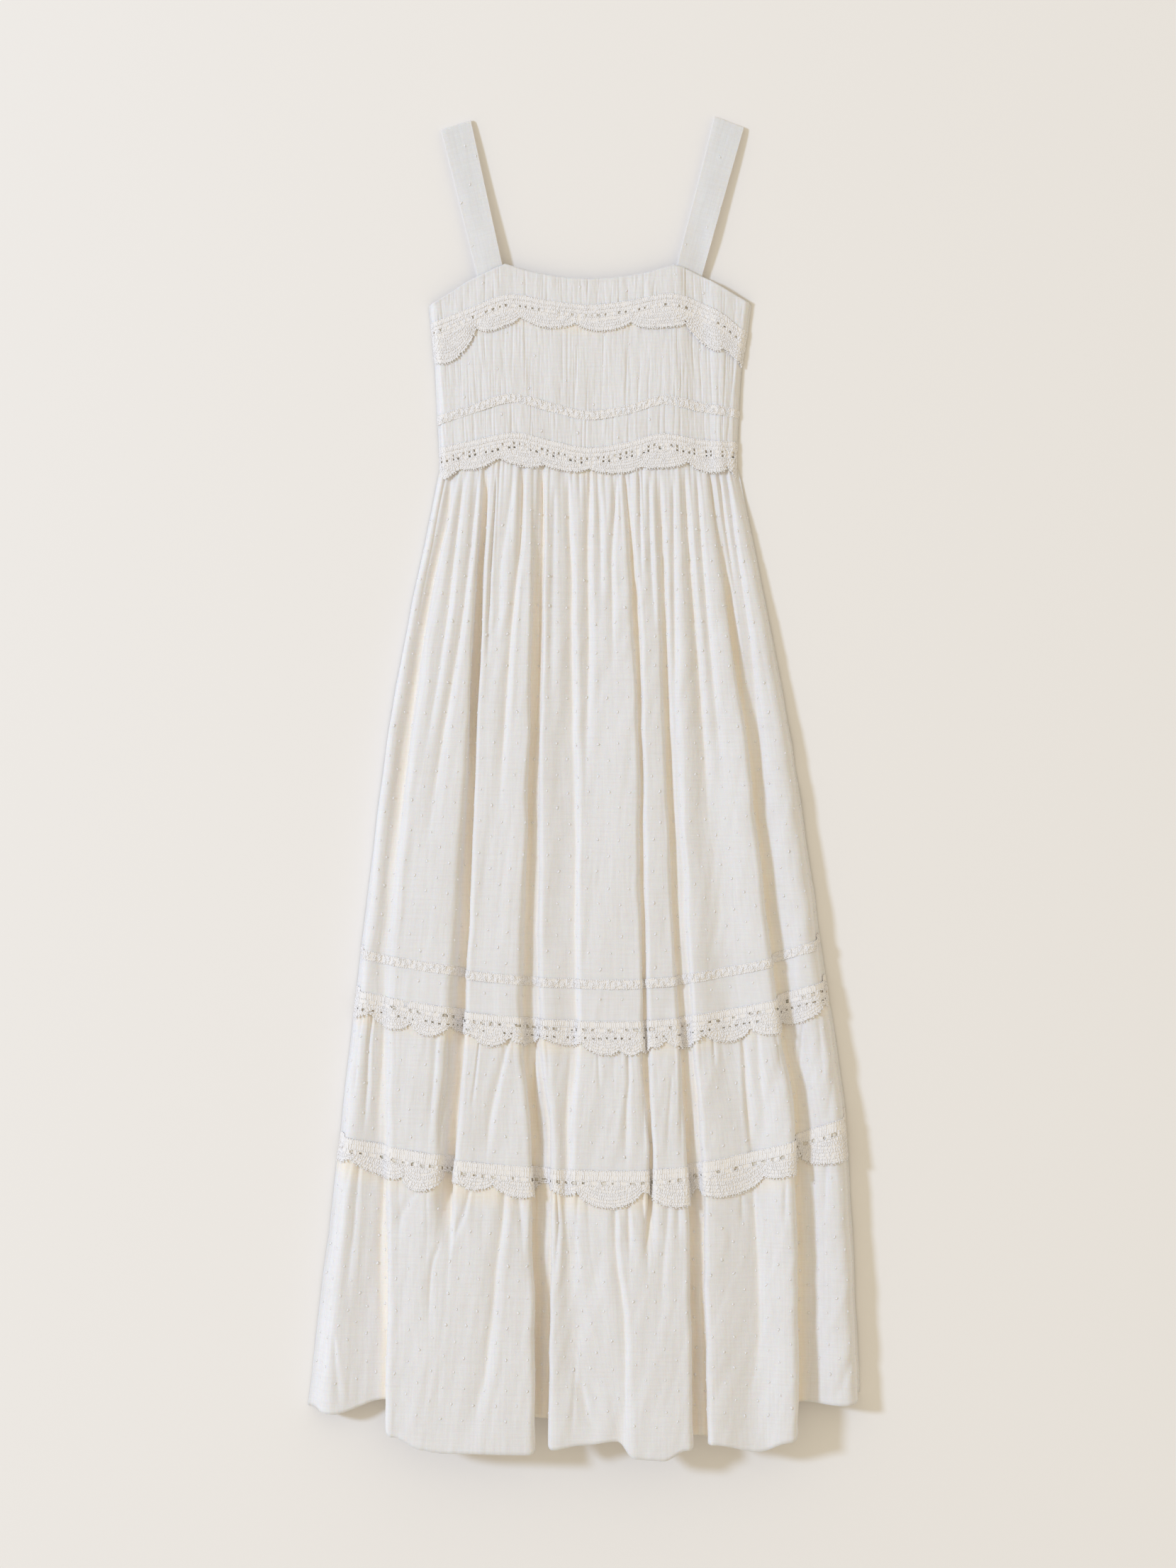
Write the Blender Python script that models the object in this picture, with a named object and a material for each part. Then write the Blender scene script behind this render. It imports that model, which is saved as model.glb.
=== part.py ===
"""A tiered cotton dobby midi dress with crochet trims, laid out flat on its back.

The front faces +Z, the straps point to +Y and the surface it lies on is z = 0.
Tables hold millimetres; the finished meshes are in metres.
"""

from collections import namedtuple

import bpy
import numpy as np

MM = 0.001

# Thickness of the cloth and of the trims, and the gap kept at a seam or between layers
CLOTH = 1.0
TRIM = 0.9
GAP = 0.3

# Distances down the skirt from the waist seam, along its middle
WAIST_DOWN = 0
MIDDLE_DOWN = 252
FIRST_TRIM_DOWN = 546
SECOND_TRIM_DOWN = 693
HEM_DOWN = 973

# A trim's rows, measured down from its sewn top edge
FIRST_TRIM = {"seam": 6, "holes": 8, "net": 12, "edge": 33}
SECOND_TRIM = {"seam": 7, "holes": 11, "net": 15, "edge": 40}
INSERTION_ABOVE_TRIM = (41, 31)

# Heights of the seam lines on the laid out skirt: the middle, and how far the sides rise
MIDDLE_LINE_Y = 76
FIRST_TRIM_Y = -232
FIRST_TRIM_RISE = (33, 45)
SECOND_TRIM_Y = -379
SECOND_TRIM_RISE = (35, 59)
LOWEST_PLACE = 0.55

# Each fold line of the skirt front, from the left side to the right side.
# The x columns are its place at the waist, the middle, both trims and the hem;
# the z columns its height at the middle, both trims and the hem; hem_y its hem.
Fold = namedtuple("Fold", "name waist_x middle_x trim1_x trim2_x hem_x middle_z trim1_z trim2_z hem_z hem_y steps")
FOLDS = [
    Fold("left_side", -143, -191, -227, -243, -275, 1.4, 1.4, 1.4, 1.4, -617, 3),
    Fold("left_crest", -138, -184, -215, -229, -250, 15, 20, 20, 22, -622, 3),
    Fold("left_dip", -131, -174, -200, -200, -197, 13, 17, 15, 12, -608, 3),
    Fold("left_wide_start", -120, -157, -186, -189, -189, 22, 27, 28, 42, -641, 3),
    Fold("left_wide_end", -104, -118, -140, -150, -158, 25, 33, 34, 46, -653, 3),
    Fold("left_slit", -96, -109, -119, -130, -148, 11, 13, 12, 45, -655, 3),
    Fold("mid_left_start", -89, -103, -112, -123, -139, 24, 34, 36, 47, -656, 4),
    Fold("mid_left_end", -54, -58, -68, -57, -54, 27, 36, 37, 50, -657, 3),
    Fold("wide_valley", -46, -51, -56, -50, -49, 15, 19, 16, 18, -625, 2),
    Fold("valley_rise", -41, -46, -48, -36, -38, 17, 21, 22, 24, -625, 3),
    Fold("centre_left_start", -34, -40, -39, -28, -32, 24, 33, 35, 45, -653, 3),
    Fold("centre_step", -17, -13, -9, -18, -4, 20, 27, 30, 42, -649, 2),
    Fold("centre_start", -8, -3, -2, -9, 31, 24, 36, 36, 43, -645, 4),
    Fold("centre_end", 36, 48, 53, 59, 50, 28, 37, 38, 50, -661, 3),
    Fold("centre_slit", 46, 55, 60, 65, 64, 21, 24, 23, 48, -662, 3),
    Fold("centre_right_start", 55, 61, 67, 71, 78, 26, 36, 37, 50, -663, 2),
    Fold("centre_right_end", 67, 74, 88, 96, 101, 25, 35, 36, 48, -653, 3),
    Fold("right_valley", 76, 80, 95, 103, 108, 19, 23, 18, 20, -642, 2),
    Fold("right_rise", 84, 89, 103, 113, 119, 20, 25, 22, 25, -642, 3),
    Fold("right_start", 93, 98, 110, 121, 127, 24, 35, 36, 46, -648, 3),
    Fold("right_dip", 105, 117, 143, 166, 171, 20, 28, 29, 38, -656, 3),
    Fold("right_end", 120, 151, 182, 201, 204, 25, 35, 37, 44, -646, 4),
    Fold("right_slit", 129, 160, 194, 213, 215, 11, 12, 12, 12, -610, 3),
    Fold("far_right_crest", 140, 184, 222, 243, 258, 18, 23, 24, 27, -613, 3),
    Fold("right_side", 151, 200, 240, 259, 275, 1.4, 1.4, 1.4, 1.4, -604, 0),
]
FOLD_FALL_AT_WAIST = 1.5
# Slits that close below the lower trim, with the distances down where they start to and end
CLOSING_SLITS = [("left_slit", 715, 790), ("centre_slit", 725, 790)]

# The bodice front, from side to side: places at the neckline, under the upper trim and at
# the waist, and the height that the cloth lies at.
BodiceLine = namedtuple("BodiceLine", "name neck_x middle_x waist_x z steps")
BODICE = [
    BodiceLine("left_side", -155, -149, -143, 1.4, 4),
    BodiceLine("left_round", -148, -142, -136, 7.5, 10),
    BodiceLine("left_bust", -87, -86, -83, 11, 14),
    BodiceLine("middle", 11, 9, 7, 9.5, 12),
    BodiceLine("right_bust", 88, 88, 86, 11.5, 6),
    BodiceLine("right_crease", 116, 120, 125, 7.5, 4),
    BodiceLine("right_soft", 130, 131, 134, 9.5, 4),
    BodiceLine("right_round", 159, 149, 144, 6.5, 4),
    BodiceLine("right_side", 166, 156, 151, 1.4, 0),
]

# The cross lines of the bodice: place across it from -1 to 1, then the y of the neckline,
# the upper trim's top, the insertion's middle and the waist trim's top.
CrossLine = namedtuple("CrossLine", "across neck_y upper_y insertion_y waist_trim_y")
CROSS_LINES = [
    CrossLine(-1.00, 477, 460, 363, 336),
    CrossLine(-0.75, 502, 475, 375, 344),
    CrossLine(-0.50, 518, 488, 385, 351),
    CrossLine(-0.25, 507, 482, 376, 343),
    CrossLine(0.00, 504, 478, 368, 336),
    CrossLine(0.25, 507, 482, 373, 341),
    CrossLine(0.50, 517, 489, 383, 350),
    CrossLine(0.75, 502, 477, 376, 344),
    CrossLine(1.00, 479, 450, 370, 342),
]
WAIST_SEAM_BELOW_TRIM = 15
BODICE_TRIM_HEIGHT = 33
INSERTION_HEIGHT = 10
BODICE_INSIDE_MIDDLE_Y = 430

# Pleats, gathers and scallops
BODICE_PLEAT = 0.8
WAIST_GATHER = 1.6
WAIST_GATHER_LENGTH = 210
TIER_GATHER = 1.3
TIER_GATHER_LENGTH = 70
GATHER_SWELL = 45
BODICE_SCALLOP = 50
FIRST_SCALLOP = 37
SECOND_SCALLOP = 51
SCALLOP_SHARE = 0.4
EYELET_PITCH = 11

# Straps: a folded band from the neckline up to its fold and down behind to the back bodice
STRAP_WIDTH = 28
STRAP_CLOTH = 1.2
STRAP_FOLD_RADIUS = 2.4
STRAP_BELOW_BODICE = 0.8
# Each row is its distance above the neckline and how far it follows the bodice's crown
STRAP_ROWS = [(-9, 1), (12, 1), (32, 0.8), (62, 0.4), (97, 0.1)]
Strap = namedtuple("Strap", "name foot_x foot_y top_x top_y")
STRAPS = [
    Strap("strap_left", -94, 512, -127, 654),
    Strap("strap_right", 104, 510, 146, 659.2),
]

# The back lies flat below the front
BACK_INSET = 3
BACK_NECK_Y = 466
BACK_COLUMNS = 10
BACK_HEM_Y = (-604, -619, -602)

CREAM = (0.86, 0.83, 0.77, 1.0)
ECRU = (0.88, 0.86, 0.82, 1.0)


def smooth_curve(places, values, wanted):
    """A curve through the points that never overshoots between two of them."""
    places = np.asarray(places, float)
    values = np.asarray(values, float)
    spans = np.diff(places)
    slopes = np.diff(values, axis=0) / spans.reshape((-1,) + (1,) * (values.ndim - 1))
    inner = np.where(slopes[:-1] * slopes[1:] > 0, 2 * slopes[:-1] * slopes[1:], 0)
    inner = inner / np.where(inner == 0, 1, slopes[:-1] + slopes[1:])
    tangents = np.concatenate([slopes[:1], inner, slopes[-1:]])
    result = []
    for place in np.atleast_1d(wanted):
        i = int(np.clip(np.searchsorted(places, place, "right") - 1, 0, len(spans) - 1))
        t = (place - places[i]) / spans[i]
        start = (1 + 2 * t) * (1 - t) ** 2 * values[i] + t * (1 - t) ** 2 * spans[i] * tangents[i]
        end = t * t * (3 - 2 * t) * values[i + 1] + t * t * (t - 1) * spans[i] * tangents[i + 1]
        result.append(start + end)
    return np.array(result)


# A fold's flank is a line whose direction swings out and back as a sine along its length,
# which is how thin cloth bends. The table gives the swing for each steepness.
FLANK_POINTS = np.linspace(0, 1, 65)
SWINGS = np.linspace(0.001, 2.15, 150)


def flank(swing):
    """The x, z and direction along a flank that starts and ends level."""
    direction = swing * np.sin(np.pi * FLANK_POINTS)
    step = FLANK_POINTS[1]
    across = np.cos(direction)
    up = np.sin(direction)
    x = np.concatenate([[0], np.cumsum((across[1:] + across[:-1]) / 2)]) * step
    z = np.concatenate([[0], np.cumsum((up[1:] + up[:-1]) / 2)]) * step
    return x, z, direction


STEEPNESS = np.array([flank(swing)[1][-1] / flank(swing)[0][-1] for swing in SWINGS])


def flank_between(start, end, steps):
    """Points (x, z) and normals of the flank from start to end, without its last point."""
    width = end[0] - start[0]
    height = end[1] - start[1]
    swing = np.interp(abs(height) / width, STEEPNESS, SWINGS)
    x, z, direction = flank(swing)
    at = np.arange(steps) / steps
    px = start[0] + width * np.interp(at, FLANK_POINTS, x / x[-1])
    pz = start[1] + height * np.interp(at, FLANK_POINTS, z / z[-1])
    turn = np.sign(height) * np.interp(at, FLANK_POINTS, direction)
    return np.stack([px, pz, -np.sin(turn), np.cos(turn)], axis=1)


def cross_section(points, steps):
    """A section through all the fold lines: rows of x, z and the outward normal."""
    parts = [
        flank_between(points[i], points[i + 1], steps[i]) for i in range(len(points) - 1)
    ]
    last = [points[-1][0], points[-1][1], 0, 1]
    return np.vstack(parts + [[last]])


def arc_length(section):
    """Distance along a cross section, from its left side."""
    steps = np.hypot(np.diff(section[:, 0]), np.diff(section[:, 1]))
    return np.concatenate([[0], np.cumsum(steps)])


def cross_line(across, name):
    """Height y of one of the bodice's cross lines, at places from -1 to 1."""
    places = [line.across for line in CROSS_LINES]
    return smooth_curve(places, [getattr(line, name) for line in CROSS_LINES], across)


def bodice_across(x, left, right):
    """Place across the bodice, from -1 at the left side to 1 at the right."""
    return np.clip(2 * (x - left) / (right - left) - 1, -1, 1)


def bodice_grid():
    """Rows of base points and normals of the bodice front, from the neckline down.

    The rows are: neckline, upper trim's top, its middle, its edge, insertion's top and
    bottom, waist trim's top and the waist seam, then the waist trim's edge below it.
    """
    steps = [line.steps for line in BODICE]
    row_at = [0, 0.15, 0.3, 0.45, 0.72, 0.78, 0.9, 1.0, 1.1]
    rows = []
    for at in row_at:
        xs = smooth_curve(
            [0, 0.5, 1.1],
            [[getattr(line, name) for line in BODICE] for name in ("neck_x", "middle_x", "waist_x")],
            at,
        )[0]
        section = cross_section([(x, line.z) for x, line in zip(xs, BODICE)], steps)
        across = bodice_across(section[:, 0], xs[0], xs[-1])
        neck = cross_line(across, "neck_y")
        upper = cross_line(across, "upper_y")
        insertion = cross_line(across, "insertion_y")
        waist = cross_line(across, "waist_trim_y")
        y = [
            neck,
            upper,
            upper - BODICE_TRIM_HEIGHT / 2,
            upper - BODICE_TRIM_HEIGHT,
            insertion + INSERTION_HEIGHT / 2,
            insertion - INSERTION_HEIGHT / 2,
            waist,
            waist - WAIST_SEAM_BELOW_TRIM,
            waist - BODICE_TRIM_HEIGHT,
        ][len(rows)]
        rows.append(np.stack([section[:, 0], y, section[:, 1], section[:, 2], section[:, 3]], 1))
    return np.array(rows)


SKIRT_ROWS = [
    WAIST_DOWN + GAP,
    30,
    75,
    150,
    MIDDLE_DOWN,
    390,
    FIRST_TRIM_DOWN - INSERTION_ABOVE_TRIM[0],
    FIRST_TRIM_DOWN - INSERTION_ABOVE_TRIM[1],
    FIRST_TRIM_DOWN,
    FIRST_TRIM_DOWN + FIRST_TRIM["seam"],
    FIRST_TRIM_DOWN + FIRST_TRIM["seam"] + GAP,
    FIRST_TRIM_DOWN + FIRST_TRIM["holes"],
    FIRST_TRIM_DOWN + FIRST_TRIM["net"],
    FIRST_TRIM_DOWN + FIRST_TRIM["edge"],
    635,
    SECOND_TRIM_DOWN,
    SECOND_TRIM_DOWN + SECOND_TRIM["seam"],
    SECOND_TRIM_DOWN + SECOND_TRIM["seam"] + GAP,
    SECOND_TRIM_DOWN + SECOND_TRIM["holes"],
    SECOND_TRIM_DOWN + SECOND_TRIM["net"],
    SECOND_TRIM_DOWN + SECOND_TRIM["edge"],
    800,
    880,
    HEM_DOWN,
]


def row_of(down):
    """Index of the skirt row at this distance down."""
    return SKIRT_ROWS.index(down)


def bodice_height(x, name):
    """Height of the bodice front's underside at its neckline or waist, at a place across it."""
    steps = [line.steps for line in BODICE]
    section = cross_section([(getattr(line, name), line.z) for line in BODICE], steps)
    return np.interp(x, section[:, 0], section[:, 1])


def fold_lines_at(down):
    """Place and height of every fold line at a distance down the skirt."""
    levels = [WAIST_DOWN, MIDDLE_DOWN, FIRST_TRIM_DOWN, SECOND_TRIM_DOWN, HEM_DOWN]
    xs = [[getattr(fold, name) for fold in FOLDS] for name in Fold._fields[1:6]]
    waist_z = [
        max(1.4, bodice_height(fold.waist_x, "waist_x") - FOLD_FALL_AT_WAIST * (fold.middle_z < 14))
        for fold in FOLDS
    ]
    zs = [waist_z] + [[getattr(fold, name) for fold in FOLDS] for name in Fold._fields[6:10]]
    x, z = smooth_curve(levels, xs, down)[0], smooth_curve(levels, zs, down)[0]
    names = [fold.name for fold in FOLDS]
    for name, start, end in CLOSING_SLITS:
        i = names.index(name)
        closed = np.clip((down - start) / (end - start), 0, 1)
        closed = closed * closed * (3 - 2 * closed)
        z[i] += ((z[i - 1] + z[i + 1]) / 2 - z[i]) * closed
    return x, z


def sagging_line(share, lowest, rises):
    """A seam line that hangs lowest near the middle and rises to both sides."""
    left = rises[0] * np.clip((LOWEST_PLACE - share) / LOWEST_PLACE, 0, 1) ** 2
    right = rises[1] * np.clip((share - LOWEST_PLACE) / (1 - LOWEST_PLACE), 0, 1) ** 2
    return lowest + left + right


def hem_line():
    """The hem's y at every column: each fold line's own, eased from one to the next."""
    ys = []
    for here, after in zip(FOLDS[:-1], FOLDS[1:]):
        t = np.arange(here.steps) / here.steps
        ys.extend(here.hem_y + (after.hem_y - here.hem_y) * t * t * (3 - 2 * t))
    return np.array(ys + [FOLDS[-1].hem_y])


def skirt_grid():
    """Rows of base points and normals of the skirt front, one for each of SKIRT_ROWS."""
    steps = [fold.steps for fold in FOLDS]
    sections = [
        cross_section(list(zip(*fold_lines_at(down))), steps) for down in SKIRT_ROWS
    ]
    first = sections[row_of(FIRST_TRIM_DOWN)]
    second = sections[row_of(SECOND_TRIM_DOWN)]
    first_share = arc_length(first) / arc_length(first)[-1]
    second_share = arc_length(second) / arc_length(second)[-1]
    waist_x = sections[0][:, 0]
    waist_y = cross_line(
        bodice_across(waist_x, BODICE[0].waist_x, BODICE[-1].waist_x), "waist_trim_y"
    )
    first_y = sagging_line(first_share, FIRST_TRIM_Y, FIRST_TRIM_RISE)
    second_y = sagging_line(second_share, SECOND_TRIM_Y, SECOND_TRIM_RISE)
    level_down = [
        WAIST_DOWN,
        MIDDLE_DOWN,
        FIRST_TRIM_DOWN - INSERTION_ABOVE_TRIM[0],
        FIRST_TRIM_DOWN,
        FIRST_TRIM_DOWN + FIRST_TRIM["edge"],
        SECOND_TRIM_DOWN,
        SECOND_TRIM_DOWN + SECOND_TRIM["edge"],
        HEM_DOWN,
    ]
    level_y = np.array(
        [
            waist_y - WAIST_SEAM_BELOW_TRIM,
            np.full(len(waist_x), MIDDLE_LINE_Y),
            first_y + INSERTION_ABOVE_TRIM[0],
            first_y,
            first_y - FIRST_TRIM["edge"],
            second_y,
            second_y - SECOND_TRIM["edge"],
            hem_line(),
        ]
    )
    rows = []
    for down, section in zip(SKIRT_ROWS, sections):
        y = [np.interp(down, level_down, column) for column in level_y.T]
        rows.append(np.stack([section[:, 0], y, section[:, 1], section[:, 2], section[:, 3]], 1))
    return np.array(rows)


def lifted(base, by):
    """Points moved out from the base along its normals. by is a number, row or grid."""
    points = base[..., :3].copy()
    points[..., 0] += base[..., 3] * by
    points[..., 2] += base[..., 4] * by
    return points


def every_other_column(rows, columns):
    """1 on every second column and 0 between, for pleats and gathers."""
    return np.tile(np.arange(columns) % 2, (rows, 1)).astype(float)


def material(name, colour, roughness):
    made = bpy.data.materials.new(name)
    made.use_nodes = True
    shader = made.node_tree.nodes["Principled BSDF"]
    shader.inputs["Base Color"].default_value = colour
    shader.inputs["Roughness"].default_value = roughness
    return made


def cloth_wall(name, outer, inner, finish, collection, holes=()):
    """A closed wall between two grids of points, open at the holes, which are (row, column)."""
    rows, columns = outer.shape[:2]
    count = rows * columns
    points = np.vstack([outer.reshape(-1, 3), inner.reshape(-1, 3)]) * MM
    holes = set(holes)

    def kept(row, column):
        inside = 0 <= row < rows - 1 and 0 <= column < columns - 1
        return inside and (row, column) not in holes

    faces = []
    for row in range(rows - 1):
        for column in range(columns - 1):
            if not kept(row, column):
                continue
            a = row * columns + column
            b, c, d = a + columns, a + columns + 1, a + 1
            faces += [(a, b, c), (a, c, d)]
            faces += [(a + count, c + count, b + count), (a + count, d + count, c + count)]
            sides = [
                ((a, b), (row, column - 1)),
                ((b, c), (row + 1, column)),
                ((c, d), (row, column + 1)),
                ((d, a), (row - 1, column)),
            ]
            for (start, end), neighbour in sides:
                if not kept(*neighbour):
                    faces += [
                        (end, start, start + count),
                        (end, start + count, end + count),
                    ]
    used = sorted({index for face in faces for index in face})
    place = {index: i for i, index in enumerate(used)}
    mesh = bpy.data.meshes.new(name)
    mesh.from_pydata([points[i] for i in used], [], [[place[i] for i in f] for f in faces])
    mesh.materials.append(finish)
    mesh.shade_smooth()
    mesh.set_sharp_from_angle(angle=0.9)
    made = bpy.data.objects.new(name, mesh)
    collection.objects.link(made)
    return made


def scallop_share(lengths, pitch):
    """How much of a trim's lower part is left at each column: 1 at a scallop's tip."""
    wave = np.abs(np.sin(np.pi * lengths / pitch))
    return 1 - SCALLOP_SHARE * (1 - wave**0.7)


def build_bodice(collection, cotton, crochet):
    grid = bodice_grid()
    rows, columns = grid.shape[:2]
    panel = grid[:8]
    pleats = every_other_column(8, columns) * BODICE_PLEAT
    pleats[:, :2] = 0
    pleats[:, -2:] = 0
    cloth_wall("bodice_front", lifted(panel, CLOTH + pleats), lifted(panel, 0), cotton, collection)

    surface = CLOTH + BODICE_PLEAT + GAP
    length = arc_length(grid[2][:, [0, 2]])

    upper = grid[1:4].copy()
    share = scallop_share(length, BODICE_SCALLOP)
    upper[2] = upper[1] + (upper[2] - upper[1]) * share[:, None]
    lift = surface + np.array([[0], [0.6], [2.4]])
    cloth_wall("trim_upper", lifted(upper, lift + TRIM), lifted(upper, lift), crochet, collection)

    band = grid[4:6]
    cloth_wall(
        "insertion_bodice", lifted(band, surface + TRIM), lifted(band, surface), crochet, collection
    )

    waist = grid[6:9].copy()
    waist[2] = waist[1] + (waist[2] - waist[1]) * share[:, None]
    lift = surface + np.array([[0], [1.2], [3.6]])
    cloth_wall("trim_waist", lifted(waist, lift + TRIM), lifted(waist, lift), crochet, collection)


def tier_gathers(rows, columns, seam_down, depth, length):
    """Gathers that fade out down the tier; those under a trim swell only below it."""
    down = np.array(rows) - seam_down
    rise = np.clip(down / GATHER_SWELL, 0, 1) if seam_down > WAIST_DOWN else 1
    fade = np.clip(1 - down / length, 0, 1)
    return (depth * rise * fade)[:, None] * every_other_column(len(rows), columns)


def build_trim(collection, crochet, name, grid, top_down, sizes, pitch):
    """A crochet edging whose header is sewn on and whose scallops hang over the next tier."""
    top, holes, net, edge = (
        row_of(top_down + size) for size in (0, sizes["holes"], sizes["net"], sizes["edge"])
    )
    band = grid[[top, holes, net, edge]].copy()
    length = arc_length(band[0][:, [0, 2]])
    share = scallop_share(length, pitch)
    band[3] = band[2] + (band[3] - band[2]) * share[:, None]
    lift = CLOTH + GAP + np.array([[0], [0.5], [0.9], [1.6]])
    places = []
    last = -EYELET_PITCH
    for column in range(1, len(length) - 2):
        if length[column] - last >= EYELET_PITCH:
            places.append((1, column))
            last = length[column]
    spaced = [place for i, place in enumerate(places) if i == 0 or place[1] - places[i - 1][1] > 1]
    cloth_wall(name, lifted(band, lift + TRIM), lifted(band, lift), crochet, collection, spaced)


def build_skirt(collection, cotton, crochet):
    grid = skirt_grid()
    columns = grid.shape[1]
    first_seam = row_of(FIRST_TRIM_DOWN + FIRST_TRIM["seam"])
    second_seam = row_of(SECOND_TRIM_DOWN + SECOND_TRIM["seam"])
    tiers = [
        ("skirt_front_upper", 0, first_seam, WAIST_DOWN, WAIST_GATHER, WAIST_GATHER_LENGTH),
        ("skirt_front_middle", first_seam + 1, second_seam, FIRST_TRIM_DOWN, 0.6, TIER_GATHER_LENGTH),
        (
            "skirt_front_lower",
            second_seam + 1,
            len(SKIRT_ROWS) - 1,
            SECOND_TRIM_DOWN,
            TIER_GATHER,
            2 * TIER_GATHER_LENGTH,
        ),
    ]
    for name, start, end, seam, depth, length in tiers:
        panel = grid[start : end + 1]
        gathers = tier_gathers(SKIRT_ROWS[start : end + 1], columns, seam, depth, length)
        gathers[:, 0] = gathers[:, -1] = 0
        cloth_wall(name, lifted(panel, CLOTH + gathers), lifted(panel, 0), cotton, collection)

    insertion = row_of(FIRST_TRIM_DOWN - INSERTION_ABOVE_TRIM[0])
    band = grid[insertion : insertion + 2]
    surface = CLOTH + GAP
    cloth_wall(
        "insertion_skirt", lifted(band, surface + TRIM), lifted(band, surface), crochet, collection
    )
    build_trim(
        collection, crochet, "trim_skirt_upper", grid, FIRST_TRIM_DOWN, FIRST_TRIM, FIRST_SCALLOP
    )
    build_trim(
        collection, crochet, "trim_skirt_lower", grid, SECOND_TRIM_DOWN, SECOND_TRIM, SECOND_SCALLOP
    )


def flat_panel(name, rows, finish, collection):
    """A back panel that lies flat: rows of (left x, right x, function of place for y)."""
    at = np.linspace(0, 1, BACK_COLUMNS + 1)
    under = []
    for left, right, y in rows:
        x = left + BACK_INSET + (right - left - 2 * BACK_INSET) * at
        under.append(np.stack([x, y(at), np.zeros(len(at))], 1))
    under = np.array(under)
    over = under + [0, 0, CLOTH]
    cloth_wall(name, over, under, finish, collection)


def build_back(collection, cotton):
    def waist_y(at):
        return cross_line(2 * at - 1, "waist_trim_y") - WAIST_SEAM_BELOW_TRIM

    def level(y):
        return lambda at: np.full(len(at), float(y))

    flat_panel(
        "bodice_back",
        [
            (BODICE[0].neck_x, BODICE[-1].neck_x, level(BACK_NECK_Y)),
            (BODICE[0].middle_x, BODICE[-1].middle_x, level(BODICE_INSIDE_MIDDLE_Y)),
            (BODICE[0].waist_x, BODICE[-1].waist_x, waist_y),
        ],
        cotton,
        collection,
    )
    first, last = FOLDS[0], FOLDS[-1]

    def below_waist(at):
        return waist_y(at) - GAP

    def first_seam(at):
        return sagging_line(at, FIRST_TRIM_Y, FIRST_TRIM_RISE) - FIRST_TRIM["seam"]

    def second_seam(at):
        return sagging_line(at, SECOND_TRIM_Y, SECOND_TRIM_RISE) - SECOND_TRIM["seam"]

    def back_hem(at):
        return smooth_curve([0, LOWEST_PLACE, 1], BACK_HEM_Y, at)

    flat_panel(
        "skirt_back_upper",
        [
            (first.waist_x, last.waist_x, below_waist),
            (first.middle_x, last.middle_x, level(MIDDLE_LINE_Y)),
            (first.trim1_x, last.trim1_x, first_seam),
        ],
        cotton,
        collection,
    )
    flat_panel(
        "skirt_back_middle",
        [
            (first.trim1_x, last.trim1_x, lambda at: first_seam(at) - GAP),
            (first.trim2_x, last.trim2_x, second_seam),
        ],
        cotton,
        collection,
    )
    flat_panel(
        "skirt_back_lower",
        [
            (first.trim2_x, last.trim2_x, lambda at: second_seam(at) - GAP),
            (first.hem_x, last.hem_x, back_hem),
        ],
        cotton,
        collection,
    )


def build_strap(strap, collection, cotton):
    """A band from under the neckline up to its fold, and down behind to the back bodice."""
    lean = (strap.top_x - strap.foot_x) / (strap.top_y - strap.foot_y)
    slant = np.hypot(lean, 1)
    half = STRAP_CLOTH / 2
    fold_y = strap.top_y - STRAP_FOLD_RADIUS
    across = np.linspace(0.5, -0.5, 5)[:, None] * STRAP_WIDTH * [1 / slant, -lean / slant]
    flat_z = 2 * STRAP_FOLD_RADIUS - half
    rows = []
    for up, crown in STRAP_ROWS:
        x = strap.foot_x + lean * up + across[:, 0]
        neck_z = bodice_height(x, "neck_x") - half - STRAP_BELOW_BODICE
        rows.append((x, strap.foot_y + up + across[:, 1], flat_z + (neck_z - flat_z) * crown, 0.0))
    for turn in np.linspace(0, np.pi, 8)[1:]:
        y = fold_y + (STRAP_FOLD_RADIUS - half) * np.sin(turn)
        z = STRAP_FOLD_RADIUS + (STRAP_FOLD_RADIUS - half) * np.cos(turn)
        x = strap.foot_x + lean * (y - strap.foot_y) + across[:, 0]
        rows.append((x, y + across[:, 1], np.full(5, z), turn))
    for share in np.linspace(0, 1, 4)[1:]:
        y = fold_y + (BACK_NECK_Y + GAP - fold_y) * share
        x = strap.foot_x + lean * (y - strap.foot_y) + across[:, 0]
        rows.append((x, y + across[:, 1] * (share < 1), np.full(5, half), np.pi))
    walls = []
    for side in (1, -1):
        wall = []
        for x, y, z, turn in rows:
            wall.append(np.stack([x, y + side * half * np.sin(turn), z + side * half * np.cos(turn)], 1))
        walls.append(np.array(wall))
    cloth_wall(strap.name, walls[0], walls[1], cotton, collection)


def clear_scene():
    for old in list(bpy.data.objects):
        bpy.data.objects.remove(old)


def main():
    clear_scene()
    dress = bpy.data.collections.new("dobby_midi_dress")
    bpy.context.scene.collection.children.link(dress)
    cotton = material("dobby_cotton", CREAM, 0.85)
    crochet = material("crochet_cotton", ECRU, 0.9)
    build_bodice(dress, cotton, crochet)
    build_skirt(dress, cotton, crochet)
    build_back(dress, cotton)
    for strap in STRAPS:
        build_strap(strap, dress, cotton)


main()
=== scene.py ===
"""Looks of the tiered dobby cotton midi dress with crochet trims, laid flat on its back."""

from collections import namedtuple
from math import pi

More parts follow.
